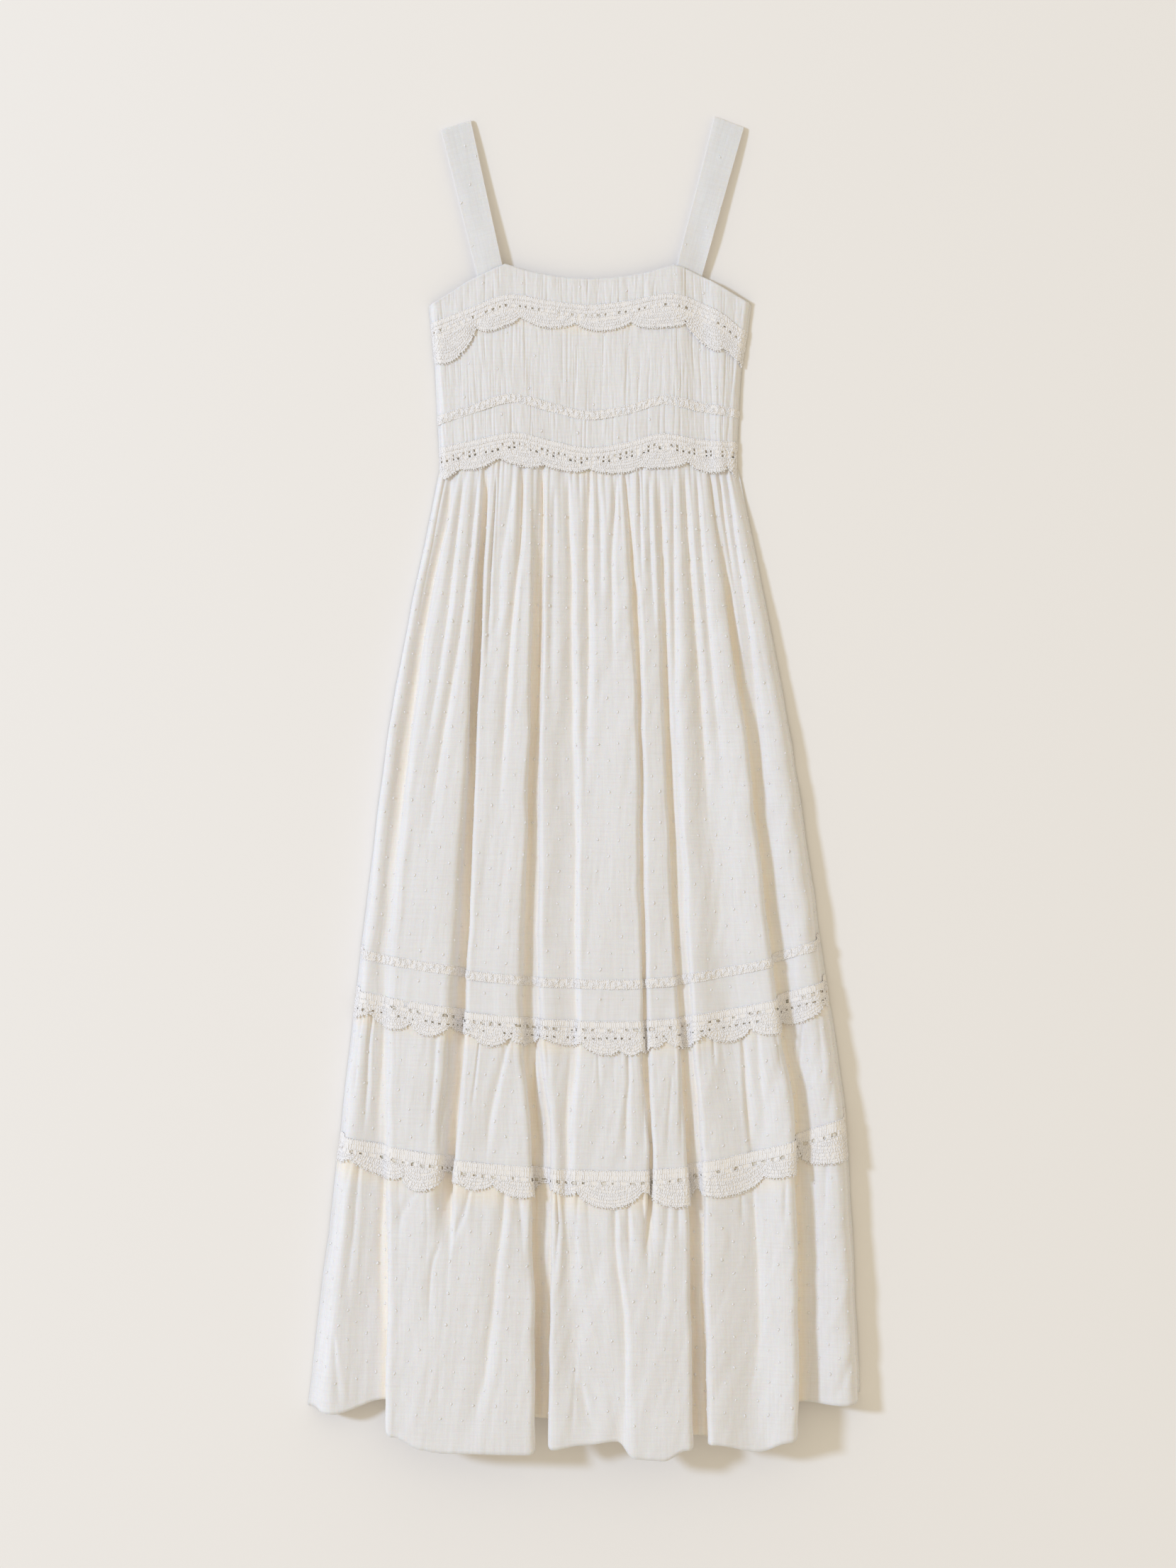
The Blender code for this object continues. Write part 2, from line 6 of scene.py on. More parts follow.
import bpy
import numpy as np
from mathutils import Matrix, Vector

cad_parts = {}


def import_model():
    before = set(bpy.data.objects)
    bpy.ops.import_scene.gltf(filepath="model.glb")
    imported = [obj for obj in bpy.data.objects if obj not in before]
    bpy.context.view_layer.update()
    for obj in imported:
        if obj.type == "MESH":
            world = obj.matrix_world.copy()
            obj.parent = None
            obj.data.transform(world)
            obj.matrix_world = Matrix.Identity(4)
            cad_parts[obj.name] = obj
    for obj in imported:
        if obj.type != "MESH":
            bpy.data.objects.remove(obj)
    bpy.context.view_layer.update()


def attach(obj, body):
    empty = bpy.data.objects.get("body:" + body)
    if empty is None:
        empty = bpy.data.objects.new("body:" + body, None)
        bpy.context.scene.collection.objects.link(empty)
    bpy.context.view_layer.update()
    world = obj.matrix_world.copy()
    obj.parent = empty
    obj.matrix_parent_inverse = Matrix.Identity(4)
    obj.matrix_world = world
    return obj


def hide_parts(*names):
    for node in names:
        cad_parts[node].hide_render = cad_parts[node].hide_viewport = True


MM = 0.001

# Sizes in millimetres. They are the part's source's, unless a comment says scene only.
CLOTH = 1.0
WAIST_DOWN = 0
MIDDLE_DOWN = 252
FIRST_TRIM_DOWN = 546
SECOND_TRIM_DOWN = 693
HEM_DOWN = 973
FIRST_SEAM = 6
SECOND_SEAM = 7
INSERTION_DOWN = (505, 515)
MIDDLE_LINE_Y = 76
FIRST_TRIM_Y = -232
FIRST_TRIM_RISE = (33, 45)
SECOND_TRIM_Y = -379
SECOND_TRIM_RISE = (35, 59)
LOWEST_PLACE = 0.55
FIRST_TRIM_EDGE = 33
SECOND_TRIM_EDGE = 40

Fold = namedtuple("Fold", "name waist_x middle_x trim1_x trim2_x hem_x middle_z trim1_z trim2_z hem_z hem_y")
FOLDS = [
    Fold("left_side", -143, -191, -227, -243, -275, 1.4, 1.4, 1.4, 1.4, -617),
    Fold("left_crest", -138, -184, -215, -229, -250, 15, 20, 20, 22, -622),
    Fold("left_dip", -131, -174, -200, -200, -197, 13, 17, 15, 12, -608),
    Fold("left_wide_start", -120, -157, -186, -189, -189, 22, 27, 28, 42, -641),
    Fold("left_wide_end", -104, -118, -140, -150, -158, 25, 33, 34, 46, -653),
    Fold("left_slit", -96, -109, -119, -130, -148, 11, 13, 12, 45, -655),
    Fold("mid_left_start", -89, -103, -112, -123, -139, 24, 34, 36, 47, -656),
    Fold("mid_left_end", -54, -58, -68, -57, -54, 27, 36, 37, 50, -657),
    Fold("wide_valley", -46, -51, -56, -50, -49, 15, 19, 16, 18, -625),
    Fold("valley_rise", -41, -46, -48, -36, -38, 17, 21, 22, 24, -625),
    Fold("centre_left_start", -34, -40, -39, -28, -32, 24, 33, 35, 45, -653),
    Fold("centre_step", -17, -13, -9, -18, -4, 20, 27, 30, 42, -649),
    Fold("centre_start", -8, -3, -2, -9, 31, 24, 36, 36, 43, -645),
    Fold("centre_end", 36, 48, 53, 59, 50, 28, 37, 38, 50, -661),
    Fold("centre_slit", 46, 55, 60, 65, 64, 21, 24, 23, 48, -662),
    Fold("centre_right_start", 55, 61, 67, 71, 78, 26, 36, 37, 50, -663),
    Fold("centre_right_end", 67, 74, 88, 96, 101, 25, 35, 36, 48, -653),
    Fold("right_valley", 76, 80, 95, 103, 108, 19, 23, 18, 20, -642),
    Fold("right_rise", 84, 89, 103, 113, 119, 20, 25, 22, 25, -642),
    Fold("right_start", 93, 98, 110, 121, 127, 24, 35, 36, 46, -648),
    Fold("right_dip", 105, 117, 143, 166, 171, 20, 28, 29, 38, -656),
    Fold("right_end", 120, 151, 182, 201, 204, 25, 35, 37, 44, -646),
    Fold("right_slit", 129, 160, 194, 213, 215, 11, 12, 12, 12, -610),
    Fold("far_right_crest", 140, 184, 222, 243, 258, 18, 23, 24, 27, -613),
    Fold("right_side", 151, 200, 240, 259, 275, 1.4, 1.4, 1.4, 1.4, -604),
]
FOLD_FALL_AT_WAIST = 1.5
# Scene only: how far the cloth rounds out over its two side edges
LEFT_FULLNESS = 0.8
RIGHT_FULLNESS = 4.2
# Scene only: the cloth bridges its valleys, by this share of how far they lie below the crests
VALLEY_SOFTNESS = {"centre_slit": 0.5, "right_dip": 0, "rest": 0.2}
CREST_HEIGHT = 34
# Slits that close below the lower trim, with the distances down where they start to and end
CLOSING_SLITS = [("left_slit", 715, 790), ("centre_slit", 725, 790)]

BodiceLine = namedtuple("BodiceLine", "name neck_x middle_x waist_x z")
BODICE = [
    BodiceLine("left_side", -155, -149, -143, 1.4),
    BodiceLine("left_round", -148, -142, -136, 7.5),
    BodiceLine("left_bust", -87, -86, -83, 11),
    BodiceLine("middle", 11, 9, 7, 9.5),
    BodiceLine("right_bust", 88, 88, 86, 11.5),
    BodiceLine("right_crease", 116, 120, 125, 7.5),
    BodiceLine("right_soft", 130, 131, 134, 9.5),
    BodiceLine("right_round", 159, 149, 144, 6.5),
    BodiceLine("right_side", 166, 156, 151, 1.4),
]
CrossLine = namedtuple("CrossLine", "across neck_y upper_y insertion_y waist_trim_y")
CROSS_LINES = [
    CrossLine(-1.00, 477, 460, 363, 336),
    CrossLine(-0.75, 502, 475, 375, 344),
    CrossLine(-0.50, 518, 488, 385, 351),
    CrossLine(-0.25, 507, 482, 376, 343),
    CrossLine(0.00, 504, 478, 368, 336),
    CrossLine(0.25, 507, 482, 373, 341),
    CrossLine(0.50, 517, 489, 383, 350),
    CrossLine(0.75, 502, 477, 376, 344),
    CrossLine(1.00, 479, 450, 370, 342),
]
NECKLINE = [
    (-1, 477), (-0.75, 502), (-0.58, 515), (-0.525, 518.4), (-0.48, 516.3), (-0.4, 512), (-0.25, 507.2),
    (-0.13, 504.6), (0, 504), (0.13, 504.8), (0.25, 507), (0.38, 511), (0.46, 515), (0.52, 517.6),
    (0.58, 515), (0.75, 502), (1, 479),
]
WAIST_SEAM_BELOW_TRIM = 15
BODICE_TRIM_HEIGHT = 33

STRAP_WIDTH = 28
STRAP_CLOTH = 1.2
STRAP_FOLD_RADIUS = 2.4
STRAP_BELOW_BODICE = 0.8
# Scene only: the widths at the strap's foot and fold, how much more aslant the fold is cut,
# and how far the strap arches up
STRAP_WIDTHS = (26.6, 30.2)
STRAP_END_SLANT = 1.4
STRAP_ARCH = 2.2
STRAP_ROWS = [(-9, 1), (12, 1), (32, 0.8), (62, 0.4), (97, 0.1)]
Strap = namedtuple("Strap", "name foot_x foot_y top_x top_y")
# The tops lie a little higher than in the source, where the photo has them
STRAPS = [
    Strap("strap_left", -94, 512, -128, 658.5),
    Strap("strap_right", 104, 510, 144.5, 661.5),
]
# Places across the strap, closer together at its two edges
STRAP_ACROSS = np.concatenate([[0.5, 0.487], np.linspace(0.43, -0.43, 13), [-0.487, -0.5]])
# The few dobby tufts on each strap's front, as shares: how far up it, and how far across it
# from its right edge
STRAP_TUFTS = {
    "strap_left": [(0.88, 0.38), (0.80, 0.14), (0.63, 0.50), (0.53, 0.88), (0.24, 0.86)],
    "strap_right": [(0.80, 0.50), (0.50, 0.10), (0.36, 0.32), (0.22, 0.84)],
}
# The same on the bodice: how far down it and how far across it
BODICE_TUFTS = [
    (0.05, 0.17), (0.08, 0.29), (0.05, 0.47), (0.09, 0.62), (0.05, 0.78), (0.09, 0.88),
    (0.41, 0.37), (0.43, 0.55), (0.42, 0.71), (0.47, 0.24), (0.48, 0.46), (0.49, 0.63), (0.50, 0.86),
    (0.54, 0.12), (0.55, 0.33), (0.56, 0.55), (0.57, 0.74), (0.61, 0.21), (0.62, 0.43), (0.63, 0.66),
    (0.64, 0.91), (0.68, 0.10), (0.69, 0.31), (0.70, 0.52), (0.69, 0.79), (0.82, 0.22), (0.84, 0.47),
    (0.83, 0.70), (0.87, 0.35), (0.87, 0.60), (0.86, 0.90),
]
BACK_INSET = 3
BACK_NECK_Y = 466
BACK_HEM_Y = (-604, -619, -602)

# Scene only: the cloth shell's thickness, and how far its outside lies off the base surface
SHELL = 0.6
SHELL_OUT = 1.0
BACK_SHELL = 0.9
BACK_COLUMNS = 60

# Scene only: the light, the camera and the finishes
PHOTO_HEIGHT = 2212
MM_A_PIXEL = 0.70
FRAME_HEIGHT = PHOTO_HEIGHT * MM_A_PIXEL * MM
CAMERA_PLACE = (3.5 * MM, 1.75 * MM, 3.23)
FOCUS_Z = 0.03
SENSOR_HEIGHT = 24
FLOOR_SIZE = 14
WINDOW_PLACE = (-7.0, 1.9, 6.1)
WINDOW_SIZE = 1.3
WINDOW_POWER = 480
WINDOW_COLOUR = (0.57, 0.73, 1.0)
ROOM_COLOUR = (1.0, 0.918, 0.735, 1)
ROOM_STRENGTH = 0.68
FLOOR_COLOUR = (0.938, 0.895, 0.868, 1)
COTTON_COLOUR = (0.868, 0.845, 0.851, 1)
COTTON_DEEP = (0.834, 0.807, 0.805, 1)
# Painted warm shade: the tint for cloth in valleys and under the trims' eyelets
COTTON_PAINTED_WARM_SHADE = (1.1, 1.035, 0.92, 1)
THREAD_COLOUR = (0.945, 0.918, 0.925, 1)
THREAD_DEEP = (0.92, 0.89, 0.89, 1)
# Painted warm shade on the crochet's ground, between its stitches
THREAD_GROUND_PAINTED_SHADE = (1.02, 0.99, 0.94, 1)
WHITE = (1, 1, 1, 1)

# Scene only: small gathers below each seam. Each row gives the seam, how many there are, the
# seed, the ranges of their half widths, depths and lengths, and how far they take to start.
Gathers = namedtuple("Gathers", "seam_down count seed widths depths lengths swell")
TOP_GATHERS = [
    Gathers(WAIST_DOWN, 46, 21, (1.5, 2.6), (1.2, 2.6), (70, 240), 0),
    Gathers(WAIST_DOWN, 150, 22, (0.6, 1.1), (0.5, 1.2), (12, 55), 0),
]
MIDDLE_GATHERS = [Gathers(FIRST_TRIM_DOWN, 84, 23, (0.9, 2.0), (0.3, 1.1), (40, 110), 22)]
LOWER_GATHERS = [Gathers(SECOND_TRIM_DOWN, 90, 24, (1.1, 2.6), (0.3, 1.3), (55, 170), 28)]

# Scene only: the shares of the creases' depth and width that each tier takes
TOP_CREASE_SHARES = (0.8, 1.0)
MIDDLE_CREASE_SHARES = (0.66, 1.15)
LOWER_CREASE_SHARES = (0.56, 1.25)

# Scene only: the bodice's pressed pleats
PLEAT_COUNT = 430
PLEAT_HALF_LENGTH = 6
PLEAT_LONGER_BY = 36
PLEAT_WIDTHS = (0.34, 0.64)
PLEAT_DEPTHS = (0.25, 0.9)
PLEAT_FULL_DEPTH_AT = 16
PLEAT_REACH_COLUMNS = 14
BODICE_FALL = 180

# Scene only: the size of the soft unevenness, and the stretch across and down that it changes over
UNEVEN = 0.7
UNEVEN_ACROSS = 14
UNEVEN_DOWN = 150

# Scene only: the dobby tufts' spacing across and down the skirt, and their form's half sizes
TUFT_SPACING = (22, 15)
TUFT_SIZE = (0.95, 1.45, 0.5)

# Scene only: how the crochet is filled
GROUND_STEP = 0.95
GROUND_LIFT = 0.08
FILLED_EYELETS = 0.25
DROPPED_STITCHES = 0.03
MOST_ROUNDS = 14

# The scalloped edge of each trim, from left to right: where each scallop starts, how far up
# its start lies, and how far up its middle lies.
Scallop = namedtuple("Scallop", "start_x start_y middle_y")
UPPER_SCALLOPS = [
    Scallop(-154, 426, 423), Scallop(-108.9, 454.7, 453.2), Scallop(-64.1, 465.2, 454.0),
    Scallop(-8.8, 459.6, 450.8), Scallop(47.3, 460.3, 453.2), Scallop(99.1, 461, 440.0),
    Scallop(136.9, 436.5, 427.0), Scallop(161, 415.5, 411.0),
]
WAIST_SCALLOPS = [
    Scallop(-146, 300, 306.5), Scallop(-124.3, 314.7, 314.6), Scallop(-85.8, 325.9, 316.6),
    Scallop(-42.4, 318.9, 311.6), Scallop(3.9, 314.7, 309.6), Scallop(58.5, 316.8, 314.8),
    Scallop(101.9, 321.7, 310.5), Scallop(142.5, 316.1, 308.5), Scallop(154, 303.5, 300.0),
]
FIRST_SCALLOPS = [
    Scallop(-230.7, -229.3, -231.0), Scallop(-209.7, -225, -241.0), Scallop(-171.9, -233.5, -247.5),
    Scallop(-133, -236.3, -245.0), Scallop(-118, -243, -247.0), Scallop(-106, -249, -257.6),
    Scallop(-75.3, -247.5, -256.4), Scallop(-43.8, -244.7, -256.6), Scallop(-3.2, -253.1, -266.0),
    Scallop(33.3, -259.4, -266.6), Scallop(54, -261, -264.0), Scallop(66, -258, -258.0),
    Scallop(78.8, -250.3, -259.5), Scallop(118, -244, -253.6), Scallop(162.1, -238.4, -246.0),
    Scallop(191.5, -232.1, -234.8), Scallop(232.8, -216, -219.0), Scallop(250, -212.5, -212.5),
]
SECOND_SCALLOPS = [
    Scallop(-246, -372, -374.0), Scallop(-229.3, -369.3, -386.5), Scallop(-177.5, -385.4, -400.5),
    Scallop(-137, -379, -388.0), Scallop(-118, -394, -399.0), Scallop(-89.3, -391.7, -406.5),
    Scallop(-40.3, -386.1, -403.0), Scallop(-6.7, -400.1, -417.0), Scallop(57, -400, -404.0),
    Scallop(68, -403, -416.0), Scallop(108.9, -396.6, -405.0), Scallop(176.8, -385.4, -387.5),
    Scallop(202, -384.7, -380.0), Scallop(214, -366, -373.6), Scallop(262, -349.7, -349.7),
]

# Creases that lie between the main folds: the places they run through, from the top down.
# depth is how deep the trough is, width its half width at its low end, lean how much
# gentler its left side is than its right.
Crease = namedtuple("Crease", "name xs ys depth width lean")
TOP_TIER_CREASES = [
    Crease("left_edge", (-134, -137, -142, -153, -175, -194), (301, 264, 245, 194, 50, -134), 5.5, 4.5, 0.5),
    Crease("left_thin", (-121, -125, -131, -137, -157), (300, 264, 214, 161, 34), 4.0, 3.6, 0.4),
    Crease("left_third", (-107, -113, -117, -121, -140, -157), (296, 234, 200, 167, 50, -64), 4.5, 4.0, 0.4),
    Crease("slit_top", (-97, -100, -103, -105, -112), (302, 247, 208, 154, 20), 5.5, 3.6, 0.4),
    Crease("slit_near", (-88, -90, -93, -96), (300, 261, 214, 130), 3.4, 1.6, 0.0),
    Crease("broad_grey", (-72, -78, -84, -86), (300, 253, 214, 130), 2.6, 5.0, 0.6),
    Crease("golden_thin", (-61, -63, -68, -73, -85), (308, 248, 200, 150, -29), 5.0, 3.6, 0.4),
    Crease("valley_top", (-42, -42, -44, -45, -50), (310, 248, 194, 150, 20), 6.0, 3.8, 0.3),
    Crease("beside_valley", (-30, -32, -34), (290, 154, 60), 3.0, 4.0, 0.4),
    Crease("before_step", (-16, -15, -13, -13, -11), (300, 253, 208, 154, 10), 4.2, 3.6, 0.4),
    Crease("centre_broad", (5, 4, 3, 4, 1), (308, 268, 234, 154, 6), 5.0, 4.2, 0.4),
    Crease("centre_faint", (16, 16, 17), (285, 230, 170), 2.4, 3.6, 0.4),
    Crease("centre_fine", (32, 29, 27, 28), (304, 261, 221, 120), 3.6, 3.0, 0.3),
    Crease("slit_start", (41, 46, 49, 55), (306, 253, 208, 90), 4.6, 3.0, 0.3),
    Crease("slit_beside", (54, 55, 57), (310, 260, 200), 3.6, 1.8, 0.2),
    Crease("right_first", (64, 65, 70), (300, 250, 150), 3.0, 3.0, 0.3),
    Crease("right_valley_top", (75, 79, 84, 92), (300, 200, 40, -120), 4.0, 4.0, 0.4),
    Crease("right_second", (88, 89, 90), (296, 180, 70), 3.0, 2.4, 0.3),
    Crease("right_third", (100, 104, 113, 122), (310, 240, 120, -20), 5.0, 4.2, 0.5),
    Crease("right_inner", (112, 116, 123, 135), (304, 240, 150, 20), 3.4, 3.4, 0.3),
    Crease("slit_right_top", (126, 135, 148, 158), (308, 240, 150, 60), 5.4, 4.2, 0.5),
    Crease("slit_right_near", (134, 141, 150), (306, 250, 190), 3.0, 2.2, 0.2),
    Crease("right_last", (141, 150, 164, 176), (310, 240, 140, 0), 4.4, 3.8, 0.3),
]
MIDDLE_TIER_CREASES = [
    Crease("first", (-220.1, -225, -229.2), (-226.4, -260.1, -316), 2.2, 1.8, 0.2),
    Crease("second", (-209.6, -213.1, -214.5, -218.8), (-228.5, -260.1, -295, -344), 3.6, 2, 0.5),
    Crease("third", (-198.4, -200.5, -203.3, -204), (-235.5, -274, -316, -361.5), 3, 3.8, 0.3),
    Crease("fourth", (-145.9, -148.8, -152.2, -155), (-242.5, -288, -330, -361.5), 2.6, 3.2, 0.3),
    Crease("slit_line", (-133.3, -134.8, -141, -143.8), (-242.5, -288, -330, -372), 3.4, 2.2, 0.4),
    Crease("beside_slit", (-103.2, -106.8, -111.6), (-247.4, -281, -319.5), 2.2, 1.2, 0),
    Crease(
        "leaning", (-72.4, -77.3, -82.2, -89.2, -94.1, -96.9),
        (-244.6, -260.1, -281, -309, -337, -368.5), 3.8, 3.2, 0.4,
    ),
    Crease("valley_line", (-47.9, -50, -47.9, -43.8), (-242.5, -295, -330, -372), 4.6, 2.6, 0.3),
    Crease("valley_right", (-36.8, -35.3, -33.9), (-253, -316, -372), 2.2, 3.4, 0.4),
    Crease("before_step", (-13.6, -17.1, -17.8), (-263.6, -316, -372), 1.8, 1.8, 0.5),
    Crease("left_of_dark", (12.9, 15), (-260.1, -302), 1.6, 1.8, 0),
    Crease("dark_line", (43, 43.8, 41.6, 40.2), (-256.6, -288, -316, -375.5), 3.8, 2.2, 0.2),
    Crease("slit_left", (56.3, 59.1, 59.1), (-256.6, -295, -375.5), 3.2, 2.6, 0.5),
    Crease("faint", (85.8, 82.9, 80.8), (-288, -330, -372), 1.5, 2, 0),
    Crease("valley_dark", (93.4, 94.8, 96.2), (-249.5, -302, -372), 3.2, 2.6, -0.4),
    Crease("fine_line", (127, 128.4), (-242.5, -281), 1.8, 1.4, 0),
    Crease("slanting", (154.3, 157.8, 159.9, 163.4, 166.2), (-240.4, -274, -309, -344, -372), 4.6, 3, -0.3),
    Crease("soft_pair", (169.8, 173.2, 177.4), (-239, -288, -326.5), 3, 3.2, 0.3),
    Crease("valley_start", (185.8, 190, 195.6), (-235.5, -253, -288), 2.4, 2.2, 0.3),
    Crease("thin_right", (216.6, 214.5, 211.8), (-225, -253, -288), 2.6, 1.5, 0),
    Crease("last", (232, 233.4, 236.2), (-218, -253, -302), 1.6, 2.4, 0.3),
    Crease("edge_soft", (247.4, 243.2, 238.3), (-267.1, -309, -337), 1.8, 3.2, 0.4),
]
LOWER_TIER_CREASES = [
    Crease("outer", (-229.2, -240.4, -248.1, -253.7), (-365, -414, -463, -505), 2.2, 3.4, 0.4),
    Crease("edge_gold", (-221.5, -225, -227.8, -232, -236.9), (-365, -400, -435, -470, -512), 4.2, 2.8, 0.4),
    Crease(
        "long_gold", (-198.4, -199.8, -201.2, -201.9, -200.5),
        (-375.5, -414, -442, -484, -540), 4.6, 3.2, 0.4,
    ),
    Crease("slant_left", (-159.9, -171.1, -180.2, -185.1), (-391.6, -407, -422.4, -445.5), 2.6, 2.8, 0.3),
    Crease("slit_foot", (-141.8, -148.8, -152.2, -153.6), (-450.4, -466.5, -494.5, -533), 2.4, 2.4, 0.3),
    Crease("narrow_gold", (-112.3, -117.2, -123.5, -132.7), (-393, -416.1, -432.9, -453.9), 3.4, 2.2, 0.3),
    Crease(
        "swept", (-78, -79.4, -82.9, -87.1, -89.9, -94.1, -98.3, -106, -116.5),
        (-382.5, -414, -445.5, -477, -512, -547, -578.5, -610, -648.5), 6, 4.6, 0.4,
    ),
    Crease("grey", (-66.1, -62.6, -60.5), (-393, -428, -470), 3.4, 3.2, 0.3),
    Crease("valley_left", (-50.8, -52.1, -53.5), (-389.5, -428, -484), 3, 2.8, -0.3),
    Crease("gold_edge", (-29, -26.2, -25.5, -28.3, -30.4), (-382.5, -414, -433.6, -466.5, -505), 4.2, 1.8, 0.4),
    Crease("beige", (-5.9, -8.8, -10.1), (-394.4, -442, -477), 3, 3, 0.3),
    Crease("hem_line", (-8, -10.1, -12.2, -13.6), (-547, -589, -624, -653.4), 1.8, 1.2, 0),
    Crease(
        "centre_gold", (30.4, 30.4, 31.8, 36, 38.8, 39.5, 38.8, 37.4),
        (-407, -442, -470, -498, -526, -575, -613.5, -655.5), 5.4, 3.6, 0.6,
    ),
    Crease("beside_gold", (42.3, 43.8, 44.4), (-407, -438.5, -466.5), 3.8, 2.2, 0.3),
    Crease("slit_left", (57, 60.5, 62.6), (-403.5, -438.5, -477), 3.6, 2.6, 0.5),
    Crease("grey_pair", (82.9, 80.8, 77.3, 75.2), (-407, -442, -477, -526), 3, 3.2, 0.3),
    Crease("grey_short", (92.8, 92.8), (-403.5, -442), 2.4, 2.2, 0),
    Crease("short", (155, 155.8), (-400, -435), 2.4, 2.4, 0),
    Crease(
        "broad", (166.2, 169, 171.1, 171.8, 164.8, 157.1),
        (-396.5, -442, -491, -540, -592.5, -620.5), 4.2, 5, 0.4,
    ),
    Crease("right_thin", (198.4, 197), (-393, -435), 2.2, 1.8, 0.3),
    Crease("far", (239.7, 238.3, 234.8), (-358, -400, -435), 3.4, 3, 0.3),
    Crease("far_second", (226.4, 227.8, 229.2), (-379, -428, -484), 2.4, 3, 0.3),
    Crease("corner", (264.9, 255.8, 244.6), (-564.5, -589, -613.5), 2.6, 4.5, 0.5),
    Crease("hem_fold", (-3.8, 2.4, 9.4), (-589, -617, -638), 3, 4.2, 0.5),
    Crease("left_hem", (-248.1, -245.3, -241.8), (-547, -582, -620.5), 3.2, 3.2, 0.6),
]


# Curves and sections, as the part's source makes them
def smooth_curve(places, values, wanted):
    """A curve through the points that never overshoots between two of them."""
    places = np.asarray(places, float)
    values = np.asarray(values, float)
    spans = np.diff(places)
    slopes = np.diff(values, axis=0) / spans.reshape((-1,) + (1,) * (values.ndim - 1))
    inner = np.where(slopes[:-1] * slopes[1:] > 0, 2 * slopes[:-1] * slopes[1:], 0)
    inner = inner / np.where(inner == 0, 1, slopes[:-1] + slopes[1:])
    tangents = np.concatenate([slopes[:1], inner, slopes[-1:]])
    result = []
    for place in np.atleast_1d(wanted):
        i = int(np.clip(np.searchsorted(places, place, "right") - 1, 0, len(spans) - 1))
        t = (place - places[i]) / spans[i]
        start = (1 + 2 * t) * (1 - t) ** 2 * values[i] + t * (1 - t) ** 2 * spans[i] * tangents[i]
        end = t * t * (3 - 2 * t) * values[i + 1] + t * t * (t - 1) * spans[i] * tangents[i + 1]
        result.append(start + end)
    return np.array(result)


FLANK_POINTS = np.linspace(0, 1, 65)
SWINGS = np.linspace(0.001, 2.15, 150)


def flank(swing):
    """The x, z and direction along a flank that starts and ends level."""
    direction = swing * np.sin(pi * FLANK_POINTS)
    step = FLANK_POINTS[1]
    across, up = np.cos(direction), np.sin(direction)
    x = np.concatenate([[0], np.cumsum((across[1:] + across[:-1]) / 2)]) * step
    z = np.concatenate([[0], np.cumsum((up[1:] + up[:-1]) / 2)]) * step
    return x, z, direction


FLANKS = [flank(swing) for swing in SWINGS]
STEEPNESS = np.array([z[-1] / x[-1] for x, z, _ in FLANKS])
FLANK_X = np.array([x / x[-1] for x, _, _ in FLANKS])
FLANK_Z = np.array([z / z[-1] for _, z, _ in FLANKS])
FLANK_TURN = np.array([turn for _, _, turn in FLANKS])


def sampled(table, row, column):
    """Values of a table between its rows and columns."""
    row = np.clip(row, 0, table.shape[0] - 1.001)
    column = np.clip(column, 0, table.shape[1] - 1.001)
    r, c = row.astype(int), column.astype(int)
    fr, fc = row - r, column - c
    if table.ndim == 3:
        fr, fc = fr[..., None], fc[..., None]
    top = table[r, c] * (1 - fc) + table[r, c + 1] * fc
    return top * (1 - fr) + (table[r + 1, c] * (1 - fc) + table[r + 1, c + 1] * fc) * fr


def sections(xs, zs, places):
    """Cross sections through lines at xs, zs (one row a section), at places in line numbers."""
    i = np.minimum(places.astype(int), xs.shape[1] - 2)
    t = np.broadcast_to(places - i, (len(xs), len(places)))
    width = xs[:, i + 1] - xs[:, i]
    height = zs[:, i + 1] - zs[:, i]
    swing = np.interp(np.abs(height) / width, STEEPNESS, np.arange(len(SWINGS)))
    point = t * (len(FLANK_POINTS) - 1)
    x = xs[:, i] + width * sampled(FLANK_X, swing, point)
    z = zs[:, i] + height * sampled(FLANK_Z, swing, point)
    turn = np.sign(height) * sampled(FLANK_TURN, swing, point)
    return x, z, np.stack([-np.sin(turn), np.zeros_like(turn), np.cos(turn)], -1)


def spread_places(xs, zs, count):
    """Places in line numbers that are about evenly spaced along a section."""
    dense = np.linspace(0, len(xs) - 1, 2000)
    x, z, _ = sections(xs[None], zs[None], dense)
    run = np.concatenate([[0], np.cumsum(np.hypot(np.diff(x[0]), np.diff(z[0])))])
    even = np.interp(np.linspace(0, run[-1], count), run, dense)
    return even


class Cloth:
    """Base points of a piece in mm, their outward normals, how far down each row is and the
    place of each column across, with the relief that is added to it."""

    def __init__(self, points, normals, down, places):
        self.points, self.normals, self.down, self.places = points, normals, down, places
        steps = np.hypot(np.diff(points[..., 0]), np.diff(points[..., 2]))
        self.along = np.concatenate([np.zeros((len(points), 1)), np.cumsum(steps, 1)], 1)
        self.relief = np.zeros(points.shape[:2])

    def surface(self, lift=0.0):
        return self.points + self.normals * (self.relief + lift)[..., None]

    def row_at(self, down):
        return np.interp(down, self.down, np.arange(len(self.down)))


def across_bodice(x, left, right):
    return np.clip(2 * (x - left) / (right - left) - 1, -1, 1)


def cross_line(across, name):
    places = [line.across for line in CROSS_LINES]
    values = [getattr(line, name) for line in CROSS_LINES]
    fine = np.linspace(-1, 1, 201)
    return np.interp(across, fine, smooth_curve(places, values, fine))


def bodice_height(x, name):
    xs = np.array([[float(getattr(line, name)) for line in BODICE]])
    zs = np.array([[float(line.z) for line in BODICE]])
    sx, sz, _ = sections(xs, zs, np.linspace(0, len(BODICE) - 1, 400))
    return np.interp(x, sx[0], sz[0])


# Levels down the bodice, as shares of its height, that the part's source has lines at
BODICE_LEVELS = [0, 0.15, 0.3, 0.45, 0.72, 0.78, 0.9, 1.0, 1.1]


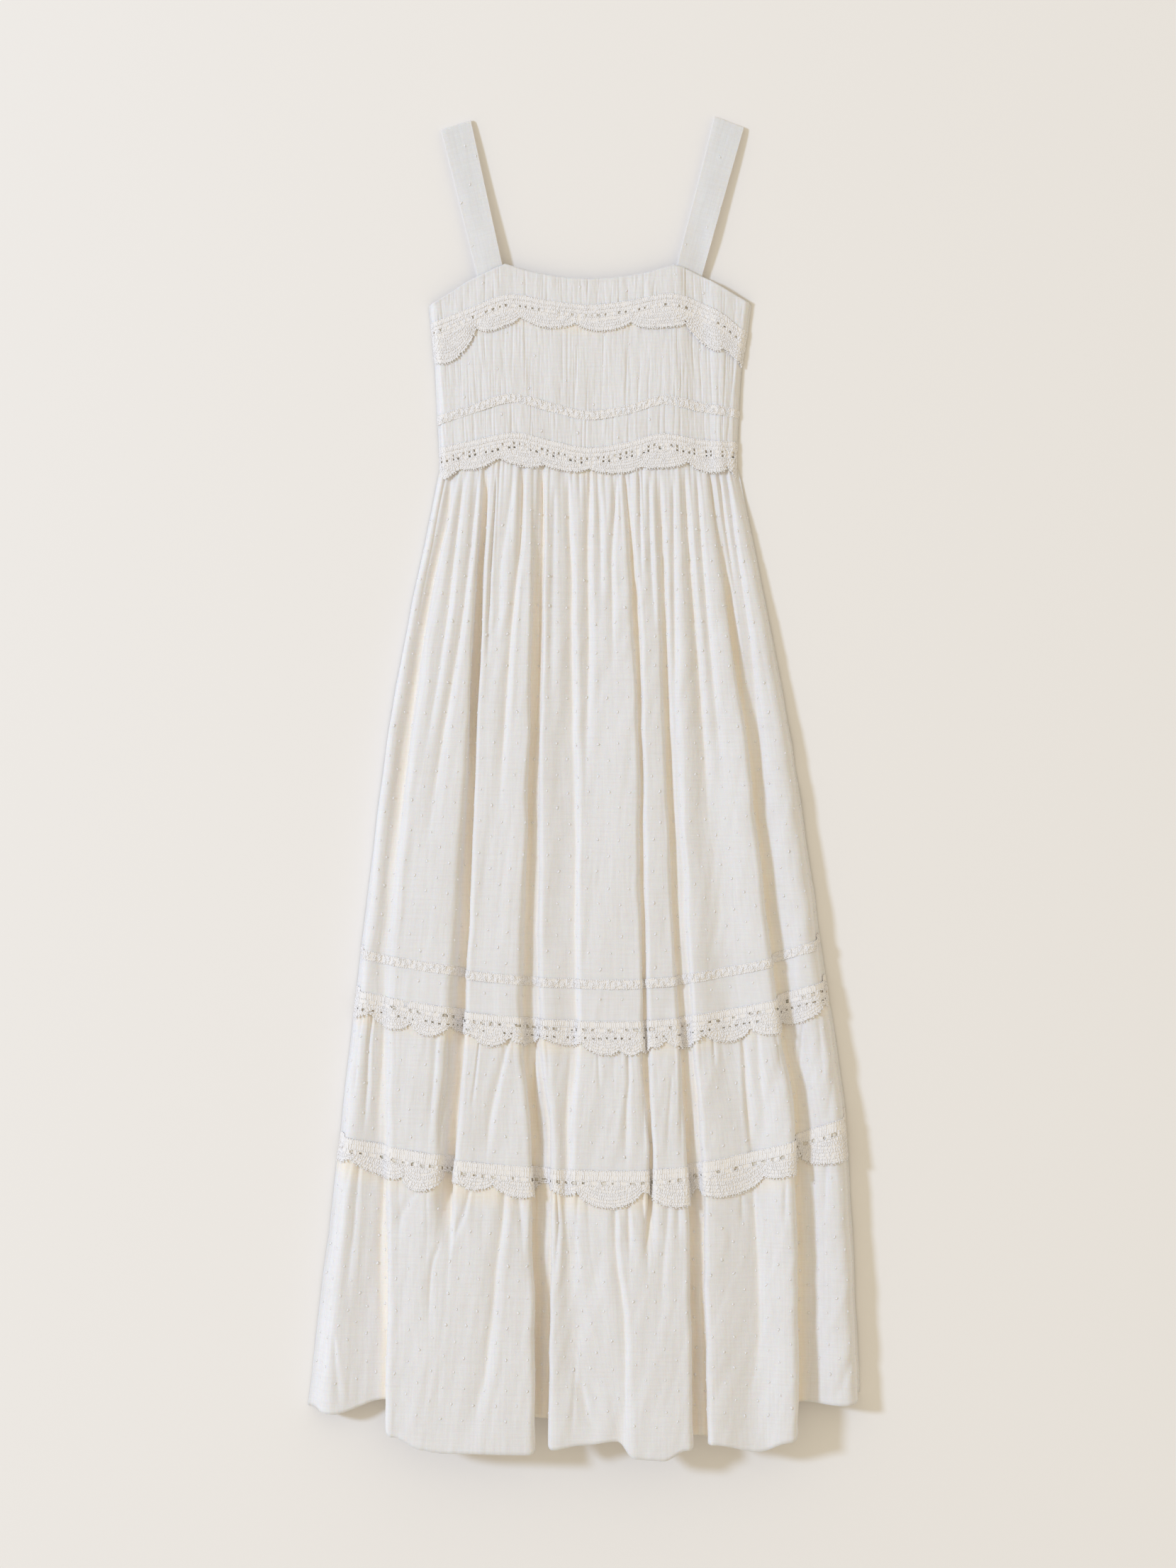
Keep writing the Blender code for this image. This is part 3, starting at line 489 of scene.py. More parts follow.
def bodice_cloth(levels, columns):
    """The bodice front between two shares of its height."""
    line_x = [[getattr(line, name) for line in BODICE] for name in ("neck_x", "middle_x", "waist_x")]
    xs = smooth_curve([0, 0.5, 1.1], line_x, levels)
    zs = np.broadcast_to([float(line.z) for line in BODICE], xs.shape)
    places = spread_places(xs[len(xs) // 2], zs[0], columns)
    x, z, normals = sections(xs, zs, places)
    across = across_bodice(x, xs[:, :1], xs[:, -1:])
    upper = cross_line(across, "upper_y")
    insertion = cross_line(across, "insertion_y")
    waist = cross_line(across, "waist_trim_y")
    neck_across, neck_y = zip(*NECKLINE)
    known = np.stack([
        np.interp(across, neck_across, neck_y),
        upper,
        upper - BODICE_TRIM_HEIGHT / 2,
        upper - BODICE_TRIM_HEIGHT,
        insertion + 5,
        insertion - 5,
        waist,
        waist - WAIST_SEAM_BELOW_TRIM,
        waist - BODICE_TRIM_HEIGHT,
    ])
    at = np.interp(levels, BODICE_LEVELS, np.arange(len(BODICE_LEVELS)))
    i = np.minimum(at.astype(int), len(known) - 2)
    t = (at - i)[:, None]
    row = np.arange(len(levels))
    y = known[i, row] * (1 - t) + known[i + 1, row] * t
    return Cloth(np.stack([x, y, z], -1), normals, np.asarray(levels, float), places)


def fold_lines(down):
    """Places and heights of all fold lines at each distance down the skirt."""
    levels = [WAIST_DOWN, MIDDLE_DOWN, FIRST_TRIM_DOWN, SECOND_TRIM_DOWN, HEM_DOWN]
    xs = [[getattr(fold, name) for fold in FOLDS] for name in Fold._fields[1:6]]
    waist_z = [
        max(1.4, bodice_height(fold.waist_x, "waist_x") - FOLD_FALL_AT_WAIST * (fold.middle_z < 14))
        for fold in FOLDS
    ]
    zs = [waist_z] + [[getattr(fold, name) for fold in FOLDS] for name in Fold._fields[6:10]]
    zs = np.array(zs, float)
    inner = zs[2:, 1:-1]
    softness = np.array([VALLEY_SOFTNESS.get(fold.name, VALLEY_SOFTNESS["rest"]) for fold in FOLDS[1:-1]])
    zs[2:, 1:-1] += softness * np.clip(CREST_HEIGHT - inner, 0, None)
    down = np.atleast_1d(down)
    x, z = smooth_curve(levels, xs, down), smooth_curve(levels, zs, down)
    rows, lines = np.meshgrid(down, np.arange(len(FOLDS)), indexing="ij")
    waver = patches(lines * 0.55, rows, 1, 46, 71) + 0.5 * patches(lines * 1.3, rows, 1, 21, 72)
    waver *= 1.3 * np.clip(rows / 200, 0, 1)
    waver[:, [0, -1]] *= 0.5
    x = x + np.clip(waver, -1.6, 1.6)
    names = [fold.name for fold in FOLDS]
    for name, start, end in CLOSING_SLITS:
        i = names.index(name)
        closed = np.clip((down - start) / (end - start), 0, 1)
        closed = closed * closed * (3 - 2 * closed)
        z[:, i] += ((z[:, i - 1] + z[:, i + 1]) / 2 - z[:, i]) * closed
    return x, z


def sagging_line(share, lowest, rises):
    left = rises[0] * np.clip((LOWEST_PLACE - share) / LOWEST_PLACE, 0, 1) ** 2
    right = rises[1] * np.clip((share - LOWEST_PLACE) / (1 - LOWEST_PLACE), 0, 1) ** 2
    return lowest + left + right


def side_fullness(places, downs):
    """How far the cloth rounds out over its two side edges, in mm."""
    left = LEFT_FULLNESS * np.sin(pi * np.clip(places, 0, 1)) ** 1.5
    right = RIGHT_FULLNESS * np.sin(pi * np.clip(len(FOLDS) - 1 - places, 0, 1)) ** 1.5
    return np.clip(downs / 160, 0, 1)[:, None] * (left + right)


def skirt_cloth(downs, columns):
    """The skirt front at these distances down from the waist seam."""
    downs = np.asarray(downs, float)
    xs, zs = fold_lines([SECOND_TRIM_DOWN])
    places = spread_places(xs[0], zs[0], columns)
    xs, zs = fold_lines(downs)
    x, z, normals = sections(xs, zs, places)

    def shares(down):
        line_x, line_z = fold_lines([down])
        sx, sz, _ = sections(line_x, line_z, places)
        run = np.concatenate([[0], np.cumsum(np.hypot(np.diff(sx[0]), np.diff(sz[0])))])
        return run / run[-1]

    waist_x = sections(*fold_lines([0]), places)[0][0]
    waist = cross_line(across_bodice(waist_x, BODICE[0].waist_x, BODICE[-1].waist_x), "waist_trim_y")
    first = sagging_line(shares(FIRST_TRIM_DOWN), FIRST_TRIM_Y, FIRST_TRIM_RISE)
    second = sagging_line(shares(SECOND_TRIM_DOWN), SECOND_TRIM_Y, SECOND_TRIM_RISE)
    i = np.minimum(places.astype(int), len(FOLDS) - 2)
    t = places - i
    hems = np.array([fold.hem_y for fold in FOLDS], float)
    hem = hems[i] + (hems[i + 1] - hems[i]) * t * t * (3 - 2 * t)
    levels = [
        WAIST_DOWN,
        MIDDLE_DOWN,
        INSERTION_DOWN[0],
        FIRST_TRIM_DOWN,
        FIRST_TRIM_DOWN + FIRST_TRIM_EDGE,
        SECOND_TRIM_DOWN,
        SECOND_TRIM_DOWN + SECOND_TRIM_EDGE,
        HEM_DOWN,
    ]
    known = np.array([
        waist - WAIST_SEAM_BELOW_TRIM,
        np.full(columns, MIDDLE_LINE_Y),
        first + FIRST_TRIM_DOWN - INSERTION_DOWN[0],
        first,
        first - FIRST_TRIM_EDGE,
        second,
        second - SECOND_TRIM_EDGE,
        hem,
    ])
    y = np.array([np.interp(downs, levels, column) for column in known.T]).T
    y += np.clip(-downs, 0, None)[:, None]
    points = np.stack([x, y, z], -1)
    points += normals * side_fullness(places, downs)[..., None]
    return Cloth(points, normals, downs, places)


# Relief
def patches(x, y, size_x, size_y, seed):
    """Smooth random values from -1 to 1 that change over size_x and size_y."""
    rng = np.random.default_rng(seed)
    grid = rng.uniform(-1, 1, (128, 128))
    px, py = x / size_x + 40, y / size_y + 40
    ix, iy = np.floor(px).astype(int), np.floor(py).astype(int)
    fx, fy = px - ix, py - iy
    fx, fy = fx * fx * (3 - 2 * fx), fy * fy * (3 - 2 * fy)
    a = grid[iy % 128, ix % 128] * (1 - fx) + grid[iy % 128, (ix + 1) % 128] * fx
    b = grid[(iy + 1) % 128, ix % 128] * (1 - fx) + grid[(iy + 1) % 128, (ix + 1) % 128] * fx
    return a * (1 - fy) + b * fy


def press_crease(cloth, crease, depth_share, width_share):
    """A trough along a line of places, narrow at its top and open at its foot, gentler on
    one side, with the cloth puffed up a little beside it."""
    depth, width = depth_share * crease.depth, width_share * crease.width
    x, y = cloth.points[..., 0], cloth.points[..., 1]
    ys, xs = np.array(crease.ys[::-1], float), np.array(crease.xs[::-1], float)
    fine = np.linspace(ys[0], ys[-1], 80)
    centre = np.interp(y, fine, smooth_curve(ys, xs, fine))
    length = ys[-1] - ys[0]
    share = np.clip((ys[-1] - y) / length, 0, 1)
    opening = max(0.12 * length, 9)
    top = np.clip((ys[-1] + 0.5 * opening - y) / opening, 0, 1)
    low = np.clip((y - ys[0] + 0.12 * length) / (0.5 * length), 0, 1)
    fade = top * top * (3 - 2 * top) * low * low * (3 - 2 * low)
    off = (x - centre) / (width * (0.5 + 0.7 * share))
    off = np.abs(np.where(off < 0, off / (1 + crease.lean), off / (1 - 0.5 * crease.lean)))
    cloth.relief -= depth * fade * np.exp(-off ** 1.5)
    cloth.relief += 0.12 * depth * fade * np.exp(-((off - 2.4) ** 2))


def gather(cloth, row):
    """Many small troughs that start at a seam and fade out below it."""
    rng = np.random.default_rng(row.seed)
    count, lengths = row.count, row.lengths
    below = cloth.down - row.seam_down
    rise = np.clip((below + 2) / (row.swell + 5), 0, 1)
    columns = cloth.points.shape[1]
    first = cloth.along[0]
    marks = (np.arange(count) + rng.uniform(0.15, 0.85, count)) / count * first[-1]
    for mark in marks:
        column = np.interp(mark, first, np.arange(columns))
        c = min(int(column), columns - 2)
        centre = cloth.along[:, c] + (cloth.along[:, c + 1] - cloth.along[:, c]) * (column - c)
        width = rng.uniform(*row.widths)
        depth = rng.uniform(*row.depths)
        length = lengths[0] + (lengths[1] - lengths[0]) * rng.uniform() ** 2
        fade = np.clip(1 - np.clip(below, 0, None) / length, 0, 1) ** 1.3 * rise
        spread = width * (1 + 0.8 * np.clip(below / length, 0, 1))
        off = np.abs(cloth.along - centre[:, None]) / spread[:, None]
        cloth.relief -= depth * fade[:, None] * np.exp(-off ** 1.5)


def soft_uneven(cloth, seed, share=1.0):
    """Shallow upright swells and fine crinkle, so that no stretch of cloth is quite even."""
    s, y = cloth.along, cloth.points[..., 1]
    cloth.relief += share * UNEVEN * patches(s, y, UNEVEN_ACROSS, UNEVEN_DOWN, seed)
    cloth.relief += share * 0.45 * UNEVEN * patches(s, y, UNEVEN_ACROSS * 0.45, UNEVEN_DOWN * 0.5, seed + 1)
    cloth.relief += 0.10 * patches(s, y, 3.2, 16, seed + 2)


# Meshes
def new_object(name, points, faces, finish, uv=None, painted_warm_shade=None):
    """A smooth mesh object from points in mm. Its last argument is how strongly each point gets painted warm
    shade.
    """
    mesh = bpy.data.meshes.new(name)
    mesh.from_pydata([tuple(p) for p in np.asarray(points) * MM], [], faces)
    if uv is not None:
        layer = mesh.uv_layers.new(name="cloth")
        index = np.empty(len(mesh.loops), np.int32)
        mesh.loops.foreach_get("vertex_index", index)
        layer.data.foreach_set("uv", np.asarray(uv, np.float32)[index].ravel())
    if painted_warm_shade is not None:
        layer = mesh.attributes.new("painted_warm_shade", "FLOAT", "POINT")
        layer.data.foreach_set("value", np.asarray(painted_warm_shade, np.float32).ravel())
    mesh.materials.append(finish)
    mesh.shade_smooth()
    made = bpy.data.objects.new(name, mesh)
    bpy.context.scene.collection.objects.link(made)
    return made


def grid_faces(rows, columns):
    """Quads of a grid whose rows go down (-y) and columns right (+x), facing +z."""
    a = (np.arange(rows - 1)[:, None] * columns + np.arange(columns - 1)).ravel()
    return np.stack([a, a + columns, a + columns + 1, a + 1], 1).tolist()


def cloth_sheet(name, cloth, finish, lift=SHELL_OUT, thickness=SHELL, under_trim=()):
    """A thin shell on a cloth's form. under_trim holds the stretches, as distances down,
    that are seen only through a trim's eyelets; there, as in the valleys, the cloth gets painted warm shade."""
    points = cloth.surface(lift)
    rows, columns = points.shape[:2]
    grain = np.broadcast_to(cloth.along[rows // 2], (rows, columns))
    uv = np.stack([grain * MM, points[..., 1] * MM], -1).reshape(-1, 2)
    # Painted warm shade: weights for the warmer tint in valleys and under the trims
    painted_shade_weight = painted_valley_shade(cloth)
    for start, end in under_trim:
        below = np.clip((end - cloth.down) / (0.4 * (end - start)), 0, 1) * (cloth.down > start)
        painted_shade_weight = np.maximum(painted_shade_weight, below[:, None])
    made = new_object(name, points.reshape(-1, 3), grid_faces(rows, columns), finish, uv, painted_warm_shade=painted_shade_weight)
    shell = made.modifiers.new("shell", "SOLIDIFY")
    shell.thickness = thickness * MM
    shell.offset = -1
    shell.use_rim_only = True
    return made


def press_under(cloth, start, end):
    """Cloth below a trim is held flatter, so that it doesn't come up through the crochet."""
    inside = np.clip((cloth.down - start) / 4, 0, 1) * np.clip((end - cloth.down) / 8, 0, 1)
    cloth.relief -= 0.75 * inside[:, None] * np.clip(cloth.relief, 0, None)


def painted_valley_shade(cloth):
    """How far each point lies in a valley, from 0 to 1: the weight of the painted warm shade that the cloth
    gets there.
    """
    z = cloth.surface()[..., 2]
    x = cloth.points[..., 0]
    around = np.zeros_like(z)
    for row in range(len(z)):
        order = np.argsort(x[row])
        even = np.linspace(x[row].min(), x[row].max(), 400)
        height = np.interp(even, x[row][order], z[row][order])
        step = even[1] - even[0]
        for reach, share in ((5, 0.6), (14, 0.4)):
            n = max(1, int(round(reach / step)))
            padded = np.pad(height, n, mode="edge")
            mean = np.convolve(padded, np.ones(2 * n + 1) / (2 * n + 1), "valid")
            around[row] += share * np.interp(x[row], even, mean)
    from_side = np.minimum(cloth.places, cloth.places.max() - cloth.places)
    return np.clip((around - z - 0.35) / 3.6, 0, 1) * np.clip(1.4 * from_side - 1.2, 0, 1)


def ride_as_cloth(made, nodes):
    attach(made, "root")
    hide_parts(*nodes)


def ride_as_crochet(made, node):
    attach(made, "root")
    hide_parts(node)


def ride_as_tufts(made):
    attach(made, "root")


# Crochet
def take_form():
    """The points and faces of the object just made, which is then removed."""
    made = bpy.context.object
    mesh = made.data
    points = np.array([tuple(v.co) for v in mesh.vertices])
    faces = [tuple(p.vertices) for p in mesh.polygons]
    bpy.data.objects.remove(made)
    bpy.data.meshes.remove(mesh)
    return points, faces


def stitch_form():
    """One crochet stitch: a plump thread, one unit long, modelled once and copied."""
    bpy.ops.object.select_all(action="DESELECT")
    bpy.ops.mesh.primitive_uv_sphere_add(segments=5, ring_count=3, radius=0.5)
    bpy.ops.object.mode_set(mode="EDIT")
    bpy.ops.mesh.select_all(action="SELECT")
    bpy.ops.transform.rotate(value=pi / 2, orient_axis="Y", center_override=(0, 0, 0))
    bpy.ops.object.mode_set(mode="OBJECT")
    return take_form()


class Trim:
    """A crochet trim laid over a cloth, with its stitches placed by distance along it and down.
    main() sets form, the points and faces of one stitch."""

    form = None

    def __init__(self, cloth, top_down, height, lifts, seed):
        self.cloth, self.top, self.height = cloth, top_down, height
        self.lifts = lifts
        self.rng = np.random.default_rng(seed)
        self.stitches = []
        self.ground = None
        header = int(round(float(cloth.row_at(top_down))))
        self.run = cloth.along[header]
        self.length = self.run[-1]
        self.outer = cloth.surface(CLOTH)

    def place(self, along, down, lift):
        column = np.interp(along, self.run, np.arange(len(self.run)))
        row = self.cloth.row_at(self.top + np.asarray(down))
        point = sampled(self.outer, row, column)
        normal = sampled(self.cloth.normals, row, column)
        lift = lift + np.interp(down, *self.lifts)
        return point + normal * np.asarray(lift)[..., None], normal

    def add(self, along, down, to_along, to_down, width, lift=0.0, shake=0.24):
        """Stitches from one place to another; the places may be arrays."""
        given = (along, down, to_along, to_down, width, lift)
        ends = np.broadcast_arrays(*[np.asarray(v, float) for v in given])
        ends = [v.ravel().copy() for v in ends]
        count = len(ends[0])
        for v in ends[:4]:
            v += self.rng.normal(0, shake, count)
        ends[4] *= self.rng.uniform(0.78, 1.2, count)
        ends[5] += self.rng.uniform(-0.2, 0.25, count)
        keep = (np.minimum(ends[0], ends[2]) > -0.5) & (np.maximum(ends[0], ends[2]) < self.length + 0.5)
        keep &= self.rng.uniform(0, 1, count) > DROPPED_STITCHES
        self.stitches.append(np.stack(ends, 1)[keep])

    def net(self, edge, holes):
        """The ground that the stitches fill: a thin sheet down to the edge, with its eyelets
        open. holes are rows of eyelets: (down, height, pitch, width)."""
        along = np.arange(0, self.length + GROUND_STEP, GROUND_STEP)
        down = np.arange(0.6, self.height, GROUND_STEP)
        s, d = np.meshgrid(along, down)
        keep = d < edge(s)[0] - 0.6
        for middle, height, pitch, width in holes:
            number = np.floor((s - pitch * 0.4) / pitch)
            shifted = (s - pitch * 0.4) % pitch - pitch / 2 + 0.6 * np.sin(number * 2.4)
            below = d - middle - 0.5 * np.sin(number * 5.1) - 0.25 * shifted
            high = height * (0.62 + 0.34 * np.sin(number * 3.7 + middle))
            wide = width * (0.7 + 0.34 * np.sin(number * 1.9 + middle))
            filled = (np.sin(number * 12.99 + middle) * 43.758) % 1 < FILLED_EYELETS
            keep &= filled | ((below / high) ** 2 + (shifted / wide) ** 2 > 0.25)
        keep = keep[:-1, :-1] & keep[1:, 1:] & keep[:-1, 1:] & keep[1:, :-1]
        points, _ = self.place(s.ravel(), d.ravel(), GROUND_LIFT)
        a = (np.arange(len(down) - 1)[:, None] * len(along) + np.arange(len(along) - 1))[keep]
        width = len(along)
        self.ground = points, np.stack([a, a + width, a + width + 1, a + 1], 1)

    def build(self, name, finish):
        data = np.vstack(self.stitches)
        start, _ = self.place(data[:, 0], data[:, 1], data[:, 5])
        end, _ = self.place(data[:, 2], data[:, 3], data[:, 5])
        middle = (data[:, 0] + data[:, 2]) / 2, (data[:, 1] + data[:, 3]) / 2
        _, normal = self.place(*middle, data[:, 5])
        axis = end - start
        size = np.linalg.norm(axis, axis=1, keepdims=True)
        direction = axis / np.maximum(size, 1e-6)
        side = np.cross(normal, direction)
        side /= np.maximum(np.linalg.norm(side, axis=1, keepdims=True), 1e-6)
        up = np.cross(direction, side)
        width = data[:, 4:5]
        form, form_faces = self.form
        points = (
            ((start + end) / 2)[:, None]
            + direction[:, None] * (form[None, :, :1] * (size + 0.35 * width)[:, None])
            + side[:, None] * (form[None, :, 1:2] * (width * 1.12)[:, None])
            + up[:, None] * (form[None, :, 2:3] * (width * 0.7)[:, None])
        )
        count = len(form)
        faces = [tuple(v + count * i for v in face) for i in range(len(data)) for face in form_faces]
        points = points.reshape(-1, 3)
        # Painted shade: the ground between the stitches takes the warm tint, the stitches none
        painted_gap_shade = np.zeros(len(points))
        if self.ground:
            faces += [tuple(face) for face in (self.ground[1] + len(points)).tolist()]
            points = np.vstack([points, self.ground[0]])
            painted_gap_shade = np.concatenate([painted_gap_shade, np.ones(len(self.ground[0]))])
        return new_object(name, points, faces, finish, painted_warm_shade=painted_gap_shade)


def chain(trim, down, pitch=2.6, width=1.5, slant=0.5, lift=0.0):
    """A row of chain stitches along a trim."""
    at = np.arange(0.0, trim.length, pitch)
    trim.add(at, down - slant / 2, at + pitch * 0.9, down + slant / 2, width, lift)


def posts(trim, down, to_down, pitch, width=1.3, lean=0.3):
    """A row of upright stitches."""
    at = np.arange(pitch / 2, trim.length, pitch)
    trim.add(at, down, at + lean, to_down, width)


def eyelets(trim, down, to_down, pitch, bar, width=1.25):
    """Bars of paired stitches with an open eyelet between them."""
    at = np.arange(pitch * 0.4, trim.length, pitch)
    for shift, lean in ((-bar / 2, 0.5), (0, -0.4), (bar / 2, 0.5)):
        trim.add(at + shift, down, at + shift + lean, to_down, width)


def zigzag(trim, down, to_down, pitch, width=1.3):
    """Slanting stitches, out and back."""
    at = np.arange(0, trim.length, pitch)
    trim.add(at, to_down, at + pitch / 2, down, width)
    trim.add(at + pitch / 2, down, at + pitch, to_down, width)


def lobes(trim, table, share=0.7):
    """How far down a scalloped edge reaches, as a function of the distance along it, and
    how far each place is from the middle of its scallop, from -1 to 1."""
    header = trim.outer[0]
    last = 0
    at, starts, middles = [], [], []
    for scallop in table:
        near = np.abs(header[:, 0] - scallop.start_x) - 0.15 * header[:, 2]
        near[:last] += 1000
        last = int(near.argmin())
        at.append(trim.run[last])
        starts.append(header[last, 1] - scallop.start_y)
    at[0], at[-1] = min(at[0], -0.1), max(at[-1], trim.length + 0.1)
    at = np.maximum.accumulate(np.array(at) + 0.01 * np.arange(len(at)))
    for i, scallop in enumerate(table[:-1]):
        middle = np.interp((at[i] + at[i + 1]) / 2, trim.run, header[:, 1])
        middles.append(middle - scallop.middle_y - (starts[i] + starts[i + 1]) / 2)
    starts, middles = np.array(starts), np.array(middles)

    def edge(s):
        i = np.clip(np.searchsorted(at, s, "right") - 1, 0, len(at) - 2)
        part = np.clip((s - at[i]) / (at[i + 1] - at[i]), 0, 1)
        out = 2 * part - 1
        low = starts[i] + (starts[i + 1] - starts[i]) * part + middles[i] * (1 - out * out) ** share
        return np.clip(low - 1.0, 14, trim.height - 2.5), out

    return edge


def scallops(trim, edge, down, pitch, width, lean=1.6, step=2.9, open_rows=()):
    """Rounds of stitches that follow a scalloped edge, up to a chain that lies down mm below
    the header. open_rows are the rounds, counted from the edge, that have gaps in them."""
    for k in range(MOST_ROUNDS):
        apart = pitch * (1.7 if k in open_rows else 1)
        s = np.arange(0, trim.length, apart) + apart * 0.5 * (k % 2)
        low, out = edge(s)
        b = low - 1.2 - step * k
        a = b - step * 1.1
        keep = a > down - step * 0.55
        if not keep.any():
            break
        s, out, a, b = s[keep], out[keep], np.maximum(a[keep], down), b[keep]
        share = 1 / (1 + 0.35 * k)
        tip = s + lean * out * share
        turn = trim.rng.normal(0, 0.35, len(s))
        foot = s - 0.3 * lean * out
        trim.add(foot - turn, a, tip + turn, np.maximum(b, a + 0.8), width, 0.12 * (k % 2))
        t = np.arange(0, trim.length, 2.3)
        c = edge(t)[0] - 1.2 - step * k
        keep = (c > down + 1) & (k > 0)
        t, c = t[keep], c[keep]
        trim.add(t, c, t + 2.1, edge(t + 2.1)[0] - 1.2 - step * k, width * 0.75, 0.35, shake=0.2)


def picots(trim, edge, pitch=2.6, width=1.9, out_by=1.2, lift=0.15):
    """The knobbly last round: a chain along the edge with small knots on it."""
    s = np.arange(0, trim.length, 2.1)
    trim.add(s, edge(s)[0] - 0.7, s + 2.0, edge(s + 2.0)[0] - 0.7, width, lift)
    s = np.arange(0.5, trim.length, pitch)
    s = s + trim.rng.uniform(-0.4, 0.4, len(s))
    low, out = edge(s)
    trim.add(s - 0.35, low + 0.45 * out_by, s + 0.35 + 0.3 * out, low + 0.6 * out_by, width, lift, shake=0.2)


def flowers(trim, down, height, pitch):
    """The narrow insertion: a close band of small looped clusters between two fine chains."""
    at = np.arange(pitch / 2, trim.length, pitch)
    side = np.where(np.arange(len(at)) % 2 == 0, -1, 1)
    middle = down + height / 2 + side * 0.12 * height + trim.rng.normal(0, 0.3, len(at))
    for turn in np.linspace(0, 2 * pi, 7)[:-1] + 0.3:
        trim.add(
            at + 0.3 * np.cos(turn),
            middle + 0.3 * np.sin(turn),
            at + 0.42 * pitch * np.cos(turn),
            middle + 0.30 * height * np.sin(turn),
            1.6,
            0.3,
            shake=0.3,
        )
    trim.add(at - 0.5, middle, at + 0.5, middle, 2.0, 0.45, shake=0.2)
    chain(trim, down + 0.9, 2.1, 1.3, 0.5, 0.1)
    chain(trim, down + height - 0.9, 2.1, 1.3, -0.5, 0.1)
    at = np.arange(0, trim.length, 1.7)
    trim.add(at, down + 1.6, at + 0.5, down + height - 1.6, 1.3, 0.0, shake=0.3)
    trim.net(lambda s: (np.full(np.shape(s), down + height + 0.4), s), [])


# Finishes
class Finish:
    """A material, with short ways to add its nodes and to join them."""

    def __init__(self, name, **values):
        self.made = bpy.data.materials.new(name)
        self.made.use_nodes = True
        self.nodes, self.link = self.made.node_tree.nodes, self.made.node_tree.links.new
        self.shader = self.nodes["Principled BSDF"]
        for socket, value in values.items():
            self.shader.inputs[socket.replace("_", " ")].default_value = value

    def place(self, kind, stretch=None):
        """Where a pattern sits: on the piece (Object), or along its threads (UV), stretched."""
        where = self.nodes.new("ShaderNodeTexCoord")
        if stretch is None:
            return where.outputs[kind]
        mapping = self.nodes.new("ShaderNodeMapping")
        mapping.inputs["Scale"].default_value = stretch
        self.link(where.outputs[kind], mapping.inputs["Vector"])
        return mapping.outputs["Vector"]

    def noise(self, place, scale, detail, roughness=0.5):
        made = self.nodes.new("ShaderNodeTexNoise")
        made.inputs["Scale"].default_value = scale
        made.inputs["Detail"].default_value = detail
        made.inputs["Roughness"].default_value = roughness
        self.link(place, made.inputs["Vector"])
        return made.outputs["Fac"]

    def bump(self, height, strength, distance, over=None):
        """The surface raised by height, over an earlier bump."""
        made = self.nodes.new("ShaderNodeBump")
        made.inputs["Strength"].default_value = strength
        made.inputs["Distance"].default_value = distance
        self.link(height, made.inputs["Height"])
        if over:
            self.link(over, made.inputs["Normal"])
        return made.outputs["Normal"]

    def ramp(self, value, low, low_colour, high, high_colour):
        made = self.nodes.new("ShaderNodeValToRGB")
        first, last = made.color_ramp.elements
        first.position, first.color = low, low_colour
        last.position, last.color = high, high_colour
        self.link(value, made.inputs["Fac"])
        return made.outputs["Color"]

    def multiplied(self, colour, by):
        """A colour multiplied by another, or by a fixed tint of painted warm shade, as strongly as each point's
        painted shade weight says.
        """
        made = self.nodes.new("ShaderNodeMix")
        made.data_type = "RGBA"
        made.blend_type = "MULTIPLY"
        share, first, second = made.inputs[0], made.inputs[6], made.inputs[7]
        self.link(colour, first)
        if isinstance(by, tuple):
            # Painted warm shade: the per-point weight of the warm tint
            painted_warm_shade = self.nodes.new("ShaderNodeAttribute")
            painted_warm_shade.attribute_name = "painted_warm_shade"
            self.link(painted_warm_shade.outputs["Fac"], share)
            second.default_value = by
        else:
            share.default_value = 1.0
            self.link(by, second)
        return made.outputs[2]


def cotton_finish():
    """Off-white plain weave: slubby threads both ways, faint mottling, soft sheen, and painted warm shade in
    its valleys and under the trims.
    """
    made = Finish(
        "dobby_cotton_weave", Roughness=0.82, Specular_IOR_Level=0.25,
        Sheen_Weight=0.18, Sheen_Roughness=0.55,
        Subsurface_Weight=0.25, Subsurface_Radius=(0.012, 0.009, 0.006), Subsurface_Scale=0.35,
    )
    slubs = [
        made.noise(made.place("UV", stretch), 1500, 2) for stretch in ((1.0, 0.07, 1.0), (0.07, 1.0, 1.0))
    ]
    woven = made.nodes.new("ShaderNodeMath")
    woven.operation = "ADD"
    made.link(slubs[0], woven.inputs[0])
    made.link(slubs[1], woven.inputs[1])
    crepe = made.noise(made.place("Object"), 230, 3)
    mottle = made.noise(made.place("Object"), 22, 4)
    warp = made.noise(made.place("UV", (1.0, 0.045, 1.0)), 420, 3, 0.65)
    weft = made.noise(made.place("UV", (0.05, 1.0, 1.0)), 520, 3, 0.65)

    bump = made.bump(woven.outputs[0], 0.35, 0.0004)
    bump = made.bump(crepe, 0.25, 0.0008, over=bump)
    bump = made.bump(warp, 0.3, 0.0005, over=bump)
    made.link(bump, made.shader.inputs["Normal"])

    both = made.nodes.new("ShaderNodeMath")
    both.operation = "MULTIPLY_ADD"
    both.inputs[1].default_value = 0.45
    made.link(woven.outputs[0], both.inputs[0])
    made.link(mottle, both.inputs[2])
    colour = made.ramp(both.outputs[0], 0.55, COTTON_DEEP, 1.0, COTTON_COLOUR)
    # Painted warm shade in the valleys and under the trims' eyelets
    colour = made.multiplied(colour, COTTON_PAINTED_WARM_SHADE)
    colour = made.multiplied(colour, made.ramp(warp, 0.3, (0.955, 0.948, 0.936, 1), 0.62, WHITE))
    colour = made.multiplied(colour, made.ramp(weft, 0.3, (0.968, 0.962, 0.952, 1), 0.6, WHITE))
    made.link(colour, made.shader.inputs["Base Color"])
    return made.made


